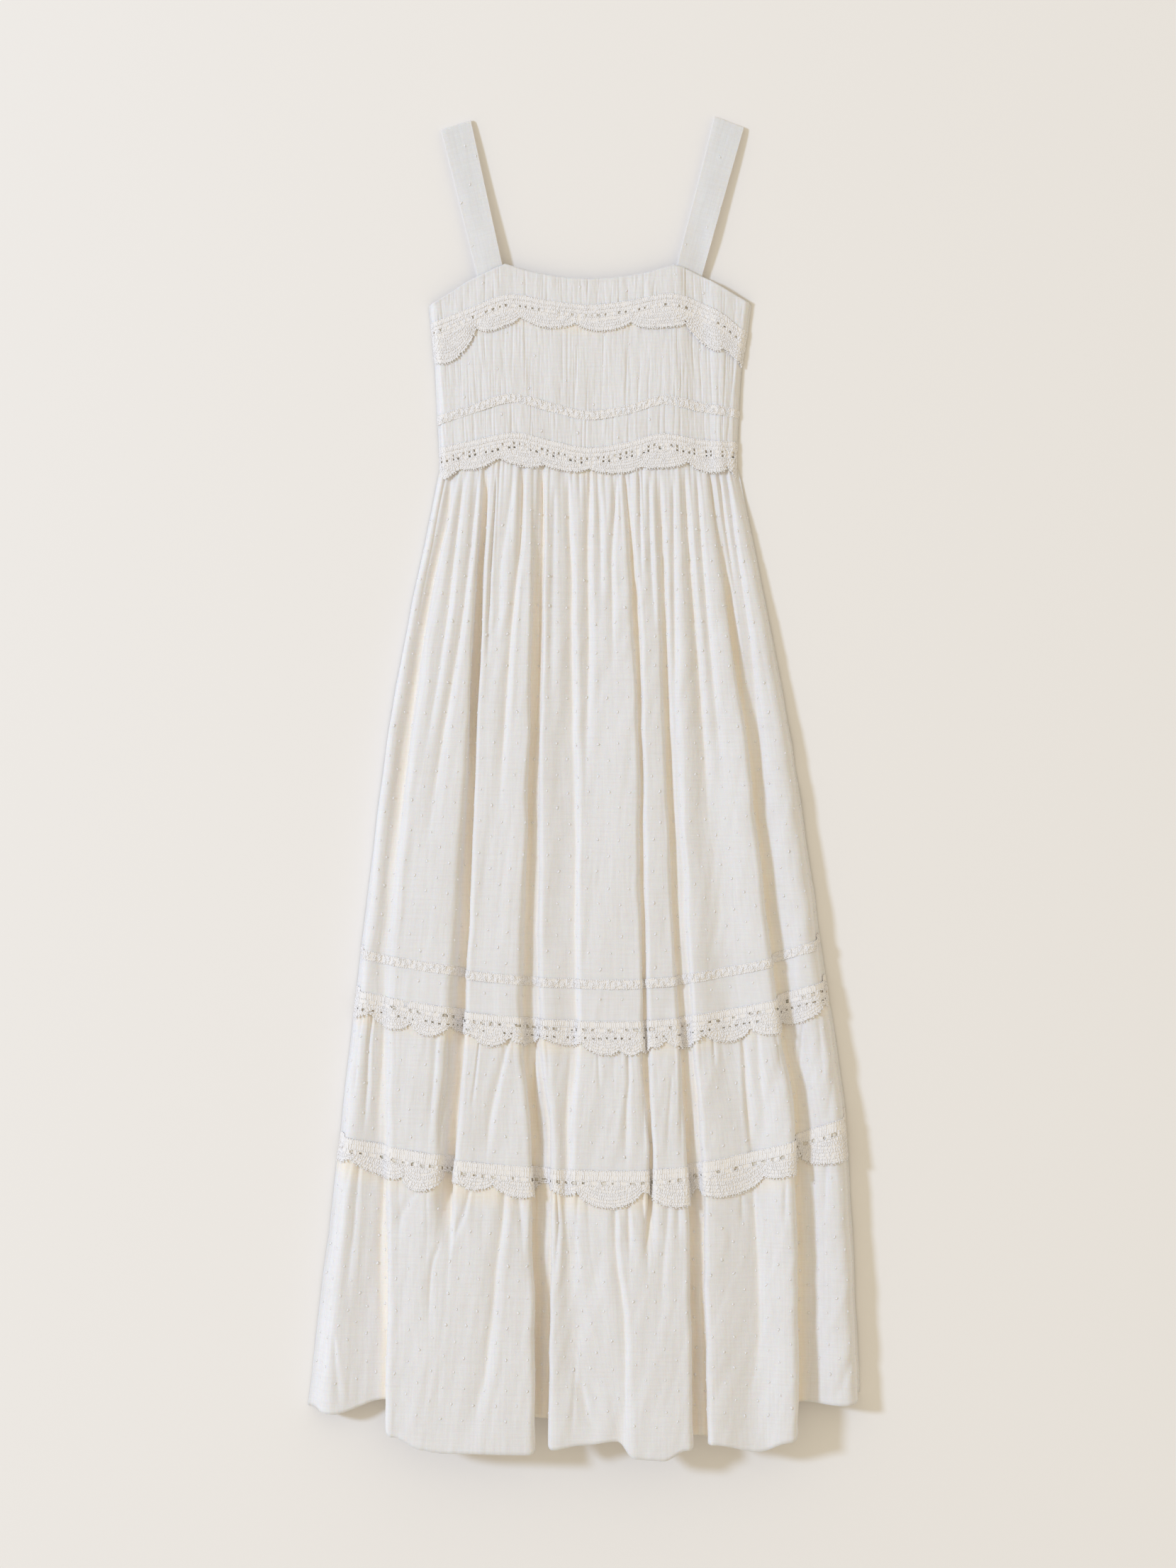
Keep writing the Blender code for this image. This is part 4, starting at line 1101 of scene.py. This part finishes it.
def thread_finish():
    """Matt plied cotton thread, slightly darker in its twist, with painted warm shade on the ground between its
    stitches.
    """
    made = Finish(
        "crochet_thread", Roughness=0.8, Specular_IOR_Level=0.3, Sheen_Weight=0.2, Sheen_Roughness=0.5,
    )
    twist = made.nodes.new("ShaderNodeTexWave")
    twist.wave_type = "BANDS"
    twist.bands_direction = "DIAGONAL"
    twist.inputs["Scale"].default_value = 420
    twist.inputs["Distortion"].default_value = 6
    twist.inputs["Detail"].default_value = 2
    made.link(made.place("Object"), twist.inputs["Vector"])
    made.link(made.bump(twist.outputs["Fac"], 0.4, 0.0004), made.shader.inputs["Normal"])
    colour = made.ramp(twist.outputs["Fac"], 0.0, THREAD_DEEP, 0.6, THREAD_COLOUR)
    # Painted warm shade on the ground between the stitches
    made.link(made.multiplied(colour, THREAD_GROUND_PAINTED_SHADE), made.shader.inputs["Base Color"])
    return made.made


def floor_finish():
    return Finish("pale_floor", Base_Color=FLOOR_COLOUR, Roughness=0.9, Specular_IOR_Level=0.1).made


# Pieces
def bodice_crinkle(cloth, fall):
    """Narrow pressed pleats that wander, fork and die out, with fine crinkle between them.
    fall is how far the bodice reaches down, in mm, for the share that each row is at."""
    s, down = cloth.along, (cloth.down * fall)[:, None]
    rng = np.random.default_rng(11)
    first = cloth.along[0]
    marks = (np.arange(PLEAT_COUNT) + rng.uniform(0, 1, PLEAT_COUNT)) / PLEAT_COUNT * first[-1]
    knots = np.linspace(0, fall, 7)
    columns = cloth.points.shape[1]
    for mark in marks:
        middle = rng.uniform(-0.1, 1.1) * fall
        half = PLEAT_HALF_LENGTH + PLEAT_LONGER_BY * rng.uniform() ** 1.6
        width = rng.uniform(*PLEAT_WIDTHS)
        depth = rng.uniform(*PLEAT_DEPTHS) * min(1.0, half / PLEAT_FULL_DEPTH_AT)
        wander = np.cumsum(rng.normal(0, 1.0, len(knots)))
        wander -= wander.mean()
        off_line = np.interp(down[:, 0], knots, wander)
        column = np.interp(mark, first, np.arange(columns))
        c = min(int(column), columns - 2)
        centre = s[:, c] + (s[:, c + 1] - s[:, c]) * (column - c) + off_line
        reach = np.clip(1 - np.abs(down[:, 0] - middle) / half, 0, 1) ** 0.6
        low = max(0, c - PLEAT_REACH_COLUMNS)
        part = slice(low, c + PLEAT_REACH_COLUMNS + 1)
        off = (s[:, part] - centre[:, None]) / width
        shape = np.where(off < 0, np.exp(-off * off / 4.5), np.exp(-off * off))
        cloth.relief[:, part] -= depth * reach[:, None] * shape
    cloth.relief += 0.5 * patches(s, down + 0 * s, 10, 60, 14) + 0.3 * patches(s, down + 0 * s, 5, 25, 15)
    cloth.relief += 0.16 * patches(s, down + 0 * s, 1.6, 5.5, 16)


def build_bodice(cotton, crochet):
    levels = np.linspace(0, 1, 96)
    cloth = bodice_cloth(levels, 680)
    bodice_crinkle(cloth, BODICE_FALL)
    cloth.relief[:2] = 0.3 + 0.4 * cloth.relief[:2]
    front = cloth_sheet(
        "bodice_front_cloth", cloth, cotton, under_trim=[(0.17, 0.45), (0.92, 1.2)],
    )

    trims = []

    def bodice_trim(name, line, levels_down, height, build):
        down = np.linspace(0, height, 52)
        band = bodice_cloth(np.interp(down, *levels_down), 540)
        across = across_bodice(band.points[..., 0], band.points[:, :1, 0], band.points[:, -1:, 0])
        band.points[..., 1] = cross_line(across, line) - down[:, None]
        band.down = down
        trim = Trim(band, 0, height, ([0, 10, height], [0.5, 0.8, 1.7]), seed=len(name))
        build(trim)
        made = trim.build(name, crochet)
        trims.append(made)
        return made

    upper_levels = ([0, 33, 60], [0.15, 0.45, 0.6])
    waist_levels = ([0, 15, 33, 50], [0.9, 1.0, 1.1, 1.14])
    upper = bodice_trim("trim_upper_crochet", "upper_y", upper_levels, 52, upper_edging)
    waist = bodice_trim("trim_waist_crochet", "waist_trim_y", waist_levels, 44, waist_edging)
    band = bodice_cloth(np.linspace(0.72, 0.78, 12), 520)
    band.down = np.linspace(0, 10, 12)
    insertion = Trim(band, 0, 10, ([0, 10], [0.2, 0.2]), seed=5)
    flowers(insertion, 0, 10, 5.2)
    insertion = insertion.build("insertion_bodice_crochet", crochet)

    ride_as_cloth(
        front, ["bodice_front"],
    )
    for made, node in ((upper, "trim_upper"), (waist, "trim_waist"), (insertion, "insertion_bodice")):
        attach(made, "root")
        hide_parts(node)
    spots = np.array(BODICE_TUFTS) * (len(levels) - 1, 679)
    dots = build_tufts("bodice_tufts", [(cloth.surface(SHELL_OUT), cloth.normals, spots)], crochet, 18)
    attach(dots, "root")


def upper_edging(trim):
    """The wide edging round the top of the bodice."""
    chain(trim, 0.8, 2.2, 1.5, 0.5)
    posts(trim, 1.2, 4.8, 1.7, 1.35, 0.5)
    chain(trim, 5.1, 2.2, 1.6, -0.5, 0.3)
    posts(trim, 5.4, 8.8, 1.7, 1.35, -0.4)
    chain(trim, 9.0, 2.2, 1.5, 0.5, 0.2)
    eyelets(trim, 9.2, 12.6, 6.6, 2.1, 1.7)
    chain(trim, 12.9, 2.2, 1.6, -0.5, 0.2)
    posts(trim, 13.2, 15.8, 1.8, 1.4, 0.6)
    edge = lobes(trim, UPPER_SCALLOPS)
    scallops(trim, edge, 15.6, 1.75, 1.5)
    picots(trim, edge)
    trim.net(edge, [(10.9, 2.1, 6.6, 2.2)])


def waist_edging(trim):
    """The edging at the waist, with two rows of small eyelets."""
    chain(trim, 0.8, 2.2, 1.5, 0.5)
    posts(trim, 1.2, 5.0, 1.7, 1.35, 0.5)
    chain(trim, 5.4, 2.2, 1.6, -0.5, 0.3)
    posts(trim, 5.8, 9.0, 1.7, 1.35, -0.4)
    chain(trim, 9.2, 2.2, 1.5, 0.5, 0.2)
    eyelets(trim, 9.4, 12.8, 5.6, 1.8, 1.6)
    chain(trim, 13.2, 2.2, 1.6, -0.5, 0.2)
    eyelets(trim, 13.5, 16.6, 5.6, 1.8, 1.6)
    chain(trim, 16.9, 2.2, 1.6, 0.4, 0.2)
    edge = lobes(trim, WAIST_SCALLOPS)
    scallops(trim, edge, 17.2, 1.75, 1.5)
    picots(trim, edge)
    trim.net(edge, [(11.1, 2.2, 5.6, 2.0), (15.0, 2.0, 5.6, 2.0)])


def first_edging(trim):
    """The edging between the first tier and the second."""
    chain(trim, 0.8, 2.3, 1.45, 0.5)
    posts(trim, 1.2, 6.6, 2.0, 1.35, 0.3)
    chain(trim, 7.0, 2.2, 1.6, 0.5, 0.2)
    eyelets(trim, 7.4, 11.2, 8.4, 1.9, 1.6)
    chain(trim, 11.5, 2.2, 1.6, -0.5, 0.2)
    zigzag(trim, 11.8, 15.4, 2.9, 1.45)
    chain(trim, 15.6, 2.2, 1.5, 0.4, 0.2)
    eyelets(trim, 15.8, 18.4, 7.0, 2.1, 1.5)
    chain(trim, 18.6, 2.2, 1.6, 0.4, 0.2)
    edge = lobes(trim, FIRST_SCALLOPS, 0.6)
    scallops(trim, edge, 19.0, 1.8, 1.45, lean=2.0, open_rows=(1,))
    picots(trim, edge, 2.9, 1.7, 1.4)
    trim.net(edge, [(9.3, 3.4, 8.4, 4.6), (17.1, 2.4, 7.0, 2.6)])


def second_edging(trim):
    """The wider edging between the second tier and the third."""
    chain(trim, 0.8, 2.3, 1.45, 0.5)
    posts(trim, 1.2, 5.6, 2.2, 1.4, 0.3)
    posts(trim, 5.2, 10.2, 2.2, 1.4, -0.3)
    chain(trim, 10.6, 2.2, 1.6, 0.4, 0.2)
    eyelets(trim, 11.0, 15.0, 9.6, 2.2, 1.7)
    chain(trim, 15.4, 2.2, 1.7, -0.5, 0.2)
    edge = lobes(trim, SECOND_SCALLOPS, 0.6)
    scallops(trim, edge, 15.8, 1.9, 1.5, lean=2.4, step=3.3, open_rows=(1, 4))
    picots(trim, edge, 3.0, 1.8, 1.5)
    trim.net(edge, [(13.0, 3.6, 9.6, 4.8)])


def dotted(cloth, spacing_along, spacing_down, margin, rng):
    """Staggered places of the dobby tufts on a tier, as row and column numbers."""
    low = cloth.along[-1]
    columns = cloth.points.shape[1]
    y = cloth.points[..., 1]
    places = []
    fall = cloth.down[-1] - cloth.down[0]
    for k, down in enumerate(np.arange(margin, fall - margin * 0.4, spacing_down)):
        shift = spacing_along / 2 * (k % 2)
        along = np.arange(4 + shift, low[-1] - 3, spacing_along)
        along = along + rng.normal(0, 0.5, len(along))
        column = np.interp(along, low, np.arange(columns))
        row = np.interp(cloth.down[0] + down + rng.normal(0, 0.5, len(along)), cloth.down, np.arange(len(y)))
        places.append(np.stack([row, column], 1))
    return np.vstack(places)


def tuft_form():
    """A dobby tuft: a little heap of clipped thread, modelled once and copied."""
    bpy.ops.object.select_all(action="DESELECT")
    bpy.ops.mesh.primitive_ico_sphere_add(subdivisions=1, radius=1.0)
    points, faces = take_form()
    return points * TUFT_SIZE, faces


def build_tufts(name, groups, finish_made, seed):
    """All tufts as one piece. groups holds (surface, normals, places)."""
    form, form_faces = tuft_form()
    rng = np.random.default_rng(seed)
    points, faces = [], []
    for surface, normals, places in groups:
        centre = sampled(surface, places[:, 0], places[:, 1])
        normal = sampled(normals, places[:, 0], places[:, 1])
        normal /= np.linalg.norm(normal, axis=1, keepdims=True)
        turn = rng.normal(0, 0.5, len(places))
        size = rng.uniform(0.9, 1.35, len(places))[:, None, None]
        down = np.array([0, 1.0, 0])
        side = np.cross(down, normal)
        side /= np.linalg.norm(side, axis=1, keepdims=True)
        ahead = np.cross(normal, side)
        ca, sa = np.cos(turn)[:, None], np.sin(turn)[:, None]
        side, ahead = side * ca + ahead * sa, ahead * ca - side * sa
        shape = form[None] * (1 + rng.normal(0, 0.16, (len(places), len(form), 1)))
        spots = (
            centre[:, None]
            + side[:, None] * shape[..., :1] * size
            + ahead[:, None] * shape[..., 1:2] * size
            + normal[:, None] * shape[..., 2:3] * size
        )
        base = sum(len(p) for p in points)
        count = len(form)
        points.append(spots.reshape(-1, 3))
        faces += [tuple(v + base + count * i for v in f) for i in range(len(places)) for f in form_faces]
    return new_object(name, np.vstack(points), faces, finish_made)


def build_skirt(cotton, crochet):
    tufts = []
    rng = np.random.default_rng(3)

    tucked = [-6, -4, -2, -0.5, 0.8, 2, 3.5]
    top = skirt_cloth(np.concatenate([tucked, np.linspace(6, FIRST_TRIM_DOWN + FIRST_SEAM, 96)]), 780)
    top.relief -= 1.5 * np.clip((4 - top.down) / 3.5, 0, 1)[:, None]
    for row in TOP_GATHERS:
        gather(top, row)
    for crease in TOP_TIER_CREASES:
        press_crease(top, crease, *TOP_CREASE_SHARES)
    soft_uneven(top, 31, share=np.clip(top.down / 120, 0.3, 1)[:, None])
    press_under(top, INSERTION_DOWN[0] - 8, INSERTION_DOWN[1] + 8)
    keep_off_back(top)
    upper = cloth_sheet("skirt_front_upper_cloth", top, cotton, under_trim=[(-10, 18)])
    tufts.append((top.surface(SHELL_OUT), top.normals, dotted(top, *TUFT_SPACING, 66, rng)))

    downs = np.linspace(FIRST_TRIM_DOWN + FIRST_SEAM + 0.3, SECOND_TRIM_DOWN + SECOND_SEAM, 44)
    middle = skirt_cloth(downs, 760)
    for row in MIDDLE_GATHERS:
        gather(middle, row)
    for crease in MIDDLE_TIER_CREASES:
        press_crease(middle, crease, *MIDDLE_CREASE_SHARES)
    soft_uneven(middle, 35)
    press_under(middle, FIRST_TRIM_DOWN, FIRST_TRIM_DOWN + 40)
    keep_off_back(middle)
    centre = cloth_sheet(
        "skirt_front_middle_cloth", middle, cotton,
        under_trim=[(FIRST_TRIM_DOWN, FIRST_TRIM_DOWN + 38)],
    )
    tufts.append((middle.surface(SHELL_OUT), middle.normals, dotted(middle, *TUFT_SPACING, 38, rng)))

    low = skirt_cloth(np.linspace(SECOND_TRIM_DOWN + SECOND_SEAM + 0.3, HEM_DOWN, 72), 760)
    for row in LOWER_GATHERS:
        gather(low, row)
    for crease in LOWER_TIER_CREASES:
        press_crease(low, crease, *LOWER_CREASE_SHARES)
    soft_uneven(low, 38)
    press_under(low, SECOND_TRIM_DOWN, SECOND_TRIM_DOWN + 48)
    keep_off_back(low)
    bottom = cloth_sheet(
        "skirt_front_lower_cloth", low, cotton,
        under_trim=[(SECOND_TRIM_DOWN, SECOND_TRIM_DOWN + 46)],
    )
    tufts.append((low.surface(SHELL_OUT), low.normals, dotted(low, *TUFT_SPACING, 46, rng)))

    band = skirt_cloth(np.linspace(INSERTION_DOWN[0], INSERTION_DOWN[1], 10), 560)
    trim = Trim(band, INSERTION_DOWN[0], 10, ([0, 10], [0.2, 0.2]), seed=6)
    flowers(trim, 0, 10, 5.6)
    insertion = trim.build("insertion_skirt_crochet", crochet)

    band = skirt_cloth(np.linspace(FIRST_TRIM_DOWN, FIRST_TRIM_DOWN + 42, 44), 580)
    trim = Trim(band, FIRST_TRIM_DOWN, 42, ([0, 12, 36], [0.5, 0.9, 1.8]), seed=7)
    first_edging(trim)
    first = trim.build("trim_skirt_upper_crochet", crochet)

    band = skirt_cloth(np.linspace(SECOND_TRIM_DOWN, SECOND_TRIM_DOWN + 50, 52), 620)
    trim = Trim(band, SECOND_TRIM_DOWN, 50, ([0, 15, 44], [0.5, 0.9, 1.9]), seed=8)
    second_edging(trim)
    second = trim.build("trim_skirt_lower_crochet", crochet)

    dots = build_tufts("dobby_tufts", tufts, crochet, 9)
    for made, cloth, node, pieces in (
        (upper, top, "skirt_front_upper", [insertion]),
        (centre, middle, "skirt_front_middle", [first]),
        (bottom, low, "skirt_front_lower", [second]),
    ):
        ride_as_cloth(made, [node])
    ride_as_crochet(insertion, "insertion_skirt")
    ride_as_crochet(first, "trim_skirt_upper")
    ride_as_crochet(second, "trim_skirt_lower")
    ride_as_tufts(dots)


def keep_off_back(cloth, clear=1.2):
    """Troughs stop above the back panel that lies below."""
    z = cloth.points[..., 2] + cloth.normals[..., 2] * (cloth.relief + SHELL_OUT - SHELL)
    short = np.clip(clear - z, 0, None)
    cloth.relief += short / np.maximum(cloth.normals[..., 2], 0.35)


def flat_cloth(name, node, rows_at, count_rows, cotton):
    """A back panel that lies flat. rows_at are (left, right, y function) down the piece."""
    at = np.linspace(0, 1, BACK_COLUMNS)
    share = np.linspace(0, len(rows_at) - 1, count_rows)
    known = []
    for left, right, y in rows_at:
        x = left + BACK_INSET + (right - left - 2 * BACK_INSET) * at
        known.append(np.stack([x, y(at), np.zeros(BACK_COLUMNS)], 1))
    known = np.array(known)
    i = np.minimum(share.astype(int), len(known) - 2)
    t = (share - i)[:, None, None]
    points = known[i] * (1 - t) + known[i + 1] * t
    normals = np.zeros_like(points)
    normals[..., 2] = 1
    cloth = Cloth(points, normals, share, at)
    made = cloth_sheet(name, cloth, cotton, lift=SHELL_OUT, thickness=BACK_SHELL)
    ride_as_cloth(made, [node])


def build_back(cotton):
    def waist_y(at):
        return cross_line(2 * at - 1, "waist_trim_y") - WAIST_SEAM_BELOW_TRIM

    def level(y):
        return lambda at: np.full(len(at), float(y))

    def first_seam(at):
        return sagging_line(at, FIRST_TRIM_Y, FIRST_TRIM_RISE) - FIRST_SEAM

    def second_seam(at):
        return sagging_line(at, SECOND_TRIM_Y, SECOND_TRIM_RISE) - SECOND_SEAM

    def hem(at):
        return smooth_curve([0, LOWEST_PLACE, 1], BACK_HEM_Y, at)

    first, last = FOLDS[0], FOLDS[-1]
    left, right = BODICE[0], BODICE[-1]
    bodice_rows = [
        (left.neck_x, right.neck_x, level(BACK_NECK_Y)),
        (left.middle_x, right.middle_x, level(430)),
        (left.waist_x, right.waist_x, waist_y),
    ]
    upper_rows = [
        (first.waist_x, last.waist_x, lambda at: waist_y(at) - 0.3),
        (first.middle_x, last.middle_x, level(MIDDLE_LINE_Y)),
        (first.trim1_x, last.trim1_x, first_seam),
    ]
    middle_rows = [
        (first.trim1_x, last.trim1_x, lambda at: first_seam(at) - 0.3),
        (first.trim2_x, last.trim2_x, second_seam),
    ]
    lower_rows = [
        (first.trim2_x, last.trim2_x, lambda at: second_seam(at) - 0.3),
        (first.hem_x, last.hem_x, hem),
    ]
    flat_cloth("bodice_back_cloth", "bodice_back", bodice_rows, 24, cotton)
    flat_cloth("skirt_back_upper_cloth", "skirt_back_upper", upper_rows, 60, cotton)
    flat_cloth("skirt_back_middle_cloth", "skirt_back_middle", middle_rows, 20, cotton)
    flat_cloth("skirt_back_lower_cloth", "skirt_back_lower", lower_rows, 30, cotton)


def build_strap(strap, cotton, crochet):
    lean = (strap.top_x - strap.foot_x) / (strap.top_y - strap.foot_y)
    slant = np.hypot(lean, 1)
    half = STRAP_CLOTH / 2
    fold_y = strap.top_y - STRAP_FOLD_RADIUS
    columns = len(STRAP_ACROSS)
    flat_z = 2 * STRAP_FOLD_RADIUS - half

    def across(up):
        """Places across the strap, which is wider and cut more aslant towards its fold."""
        share = np.clip(up / (fold_y - strap.foot_y), 0, 1)
        width = STRAP_WIDTHS[0] + (STRAP_WIDTHS[1] - STRAP_WIDTHS[0]) * share
        rise = -lean * (1 + (STRAP_END_SLANT - 1) * share ** 3)
        return STRAP_ACROSS[:, None] * width * [1 / slant, rise / slant]

    ups = np.array([up for up, _ in STRAP_ROWS] + [fold_y - strap.foot_y], float)
    crowns = np.array([crown for _, crown in STRAP_ROWS] + [0.0])
    rows = []
    for up in np.linspace(ups[0], ups[-1], 60)[:-1]:
        crown = float(smooth_curve(ups, crowns, up)[0])
        x = strap.foot_x + lean * up + across(up)[:, 0]
        neck_z = bodice_height(x, "neck_x") - half - STRAP_BELOW_BODICE
        arch = STRAP_ARCH * np.sin(pi * np.clip(up / ups[-1], 0, 1)) ** 0.6
        z = flat_z + arch + (neck_z - flat_z - arch) * crown
        rows.append((x, strap.foot_y + up + across(up)[:, 1], z, 0.0))
    for turn in np.linspace(0, pi, 16):
        y = fold_y + (STRAP_FOLD_RADIUS - half) * np.sin(turn)
        z = STRAP_FOLD_RADIUS + (STRAP_FOLD_RADIUS - half) * np.cos(turn)
        off = across(y - strap.foot_y)
        x = strap.foot_x + lean * (y - strap.foot_y) + off[:, 0]
        rows.append((x, y + off[:, 1], np.full(columns, z), turn))
    for share in np.linspace(0, 1, 40)[1:]:
        y = fold_y + (BACK_NECK_Y + 0.3 - fold_y) * share
        off = across(y - strap.foot_y)
        x = strap.foot_x + lean * (y - strap.foot_y) + off[:, 0]
        rows.append((x, y + off[:, 1] * (share < 1), np.full(columns, half), pi))
    points = np.array([
        np.stack([x, y + half * np.sin(turn), z + half * np.cos(turn)], 1) for x, y, z, turn in rows
    ])
    normals = np.array([
        np.broadcast_to([0, np.sin(turn), np.cos(turn)], (columns, 3)) for _, _, _, turn in rows
    ])
    run = np.concatenate([[0], np.cumsum(np.linalg.norm(np.diff(points[:, 0], axis=0), axis=1))])
    along = np.broadcast_to((0.5 - STRAP_ACROSS) * STRAP_WIDTH, points.shape[:2])
    edge = np.minimum(along, STRAP_WIDTH - along)
    relief = -0.16 * np.exp(-((edge - 2.2) / 0.8) ** 2) - 0.1 * np.exp(-(edge / 0.8) ** 2)
    relief = relief + 0.18 * patches(along, run[:, None] + 0 * along, 8, 30, 61)
    relief = np.where(normals[..., 2] > -0.5, relief, 0)
    surface = points + normals * relief[..., None]
    uv = np.stack([along * MM, np.broadcast_to(run[:, None], along.shape) * MM], -1).reshape(-1, 2)
    made = new_object(strap.name + "_cloth", surface.reshape(-1, 3), grid_faces(*points.shape[:2]), cotton, uv)
    shell = made.modifiers.new("shell", "SOLIDIFY")
    shell.thickness = STRAP_CLOTH * 0.85 * MM
    shell.offset = -1
    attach(made, "root")
    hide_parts(strap.name)
    spots = np.array([(up * 58, across_it * (columns - 1)) for up, across_it in STRAP_TUFTS[strap.name]])
    dots = build_tufts(strap.name + "_tufts", [(surface, normals, spots)], crochet, 17)
    ride_as_tufts(dots)


# Stage
def build_stage():
    floor_made = floor_finish()
    bpy.ops.object.select_all(action="DESELECT")
    bpy.ops.mesh.primitive_plane_add(size=FLOOR_SIZE, location=(0, 0, 0))
    floor = bpy.context.object
    floor.name = "pale_floor"
    floor.data.materials.append(floor_made)

    camera_data = bpy.data.cameras.new("camera")
    camera = bpy.data.objects.new("camera", camera_data)
    bpy.context.scene.collection.objects.link(camera)
    camera.location = CAMERA_PLACE
    camera.rotation_euler = (0, 0, 0)
    camera_data.sensor_fit = "VERTICAL"
    camera_data.sensor_height = SENSOR_HEIGHT
    camera_data.lens = SENSOR_HEIGHT * (CAMERA_PLACE[2] - FOCUS_Z) / FRAME_HEIGHT
    camera_data.clip_end = 100
    bpy.context.scene.camera = camera

    light_data = bpy.data.lights.new("window_light", "AREA")
    light_data.shape = "DISK"
    light_data.size = WINDOW_SIZE
    light_data.energy = WINDOW_POWER
    light_data.color = WINDOW_COLOUR
    light = bpy.data.objects.new("window_light", light_data)
    bpy.context.scene.collection.objects.link(light)
    light.location = WINDOW_PLACE
    light.rotation_euler = (-Vector(WINDOW_PLACE)).to_track_quat("-Z", "Y").to_euler()

    world = bpy.data.worlds.new("studio")
    bpy.context.scene.world = world
    world.use_nodes = True
    background = world.node_tree.nodes["Background"]
    background.inputs["Color"].default_value = ROOM_COLOUR
    background.inputs["Strength"].default_value = ROOM_STRENGTH


def main():
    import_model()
    bpy.context.scene.view_settings.view_transform = "Standard"
    build_stage()
    Trim.form = stitch_form()
    cotton = cotton_finish()
    crochet = thread_finish()
    build_back(cotton)
    build_bodice(cotton, crochet)
    build_skirt(cotton, crochet)
    for strap in STRAPS:
        build_strap(strap, cotton, crochet)


main()
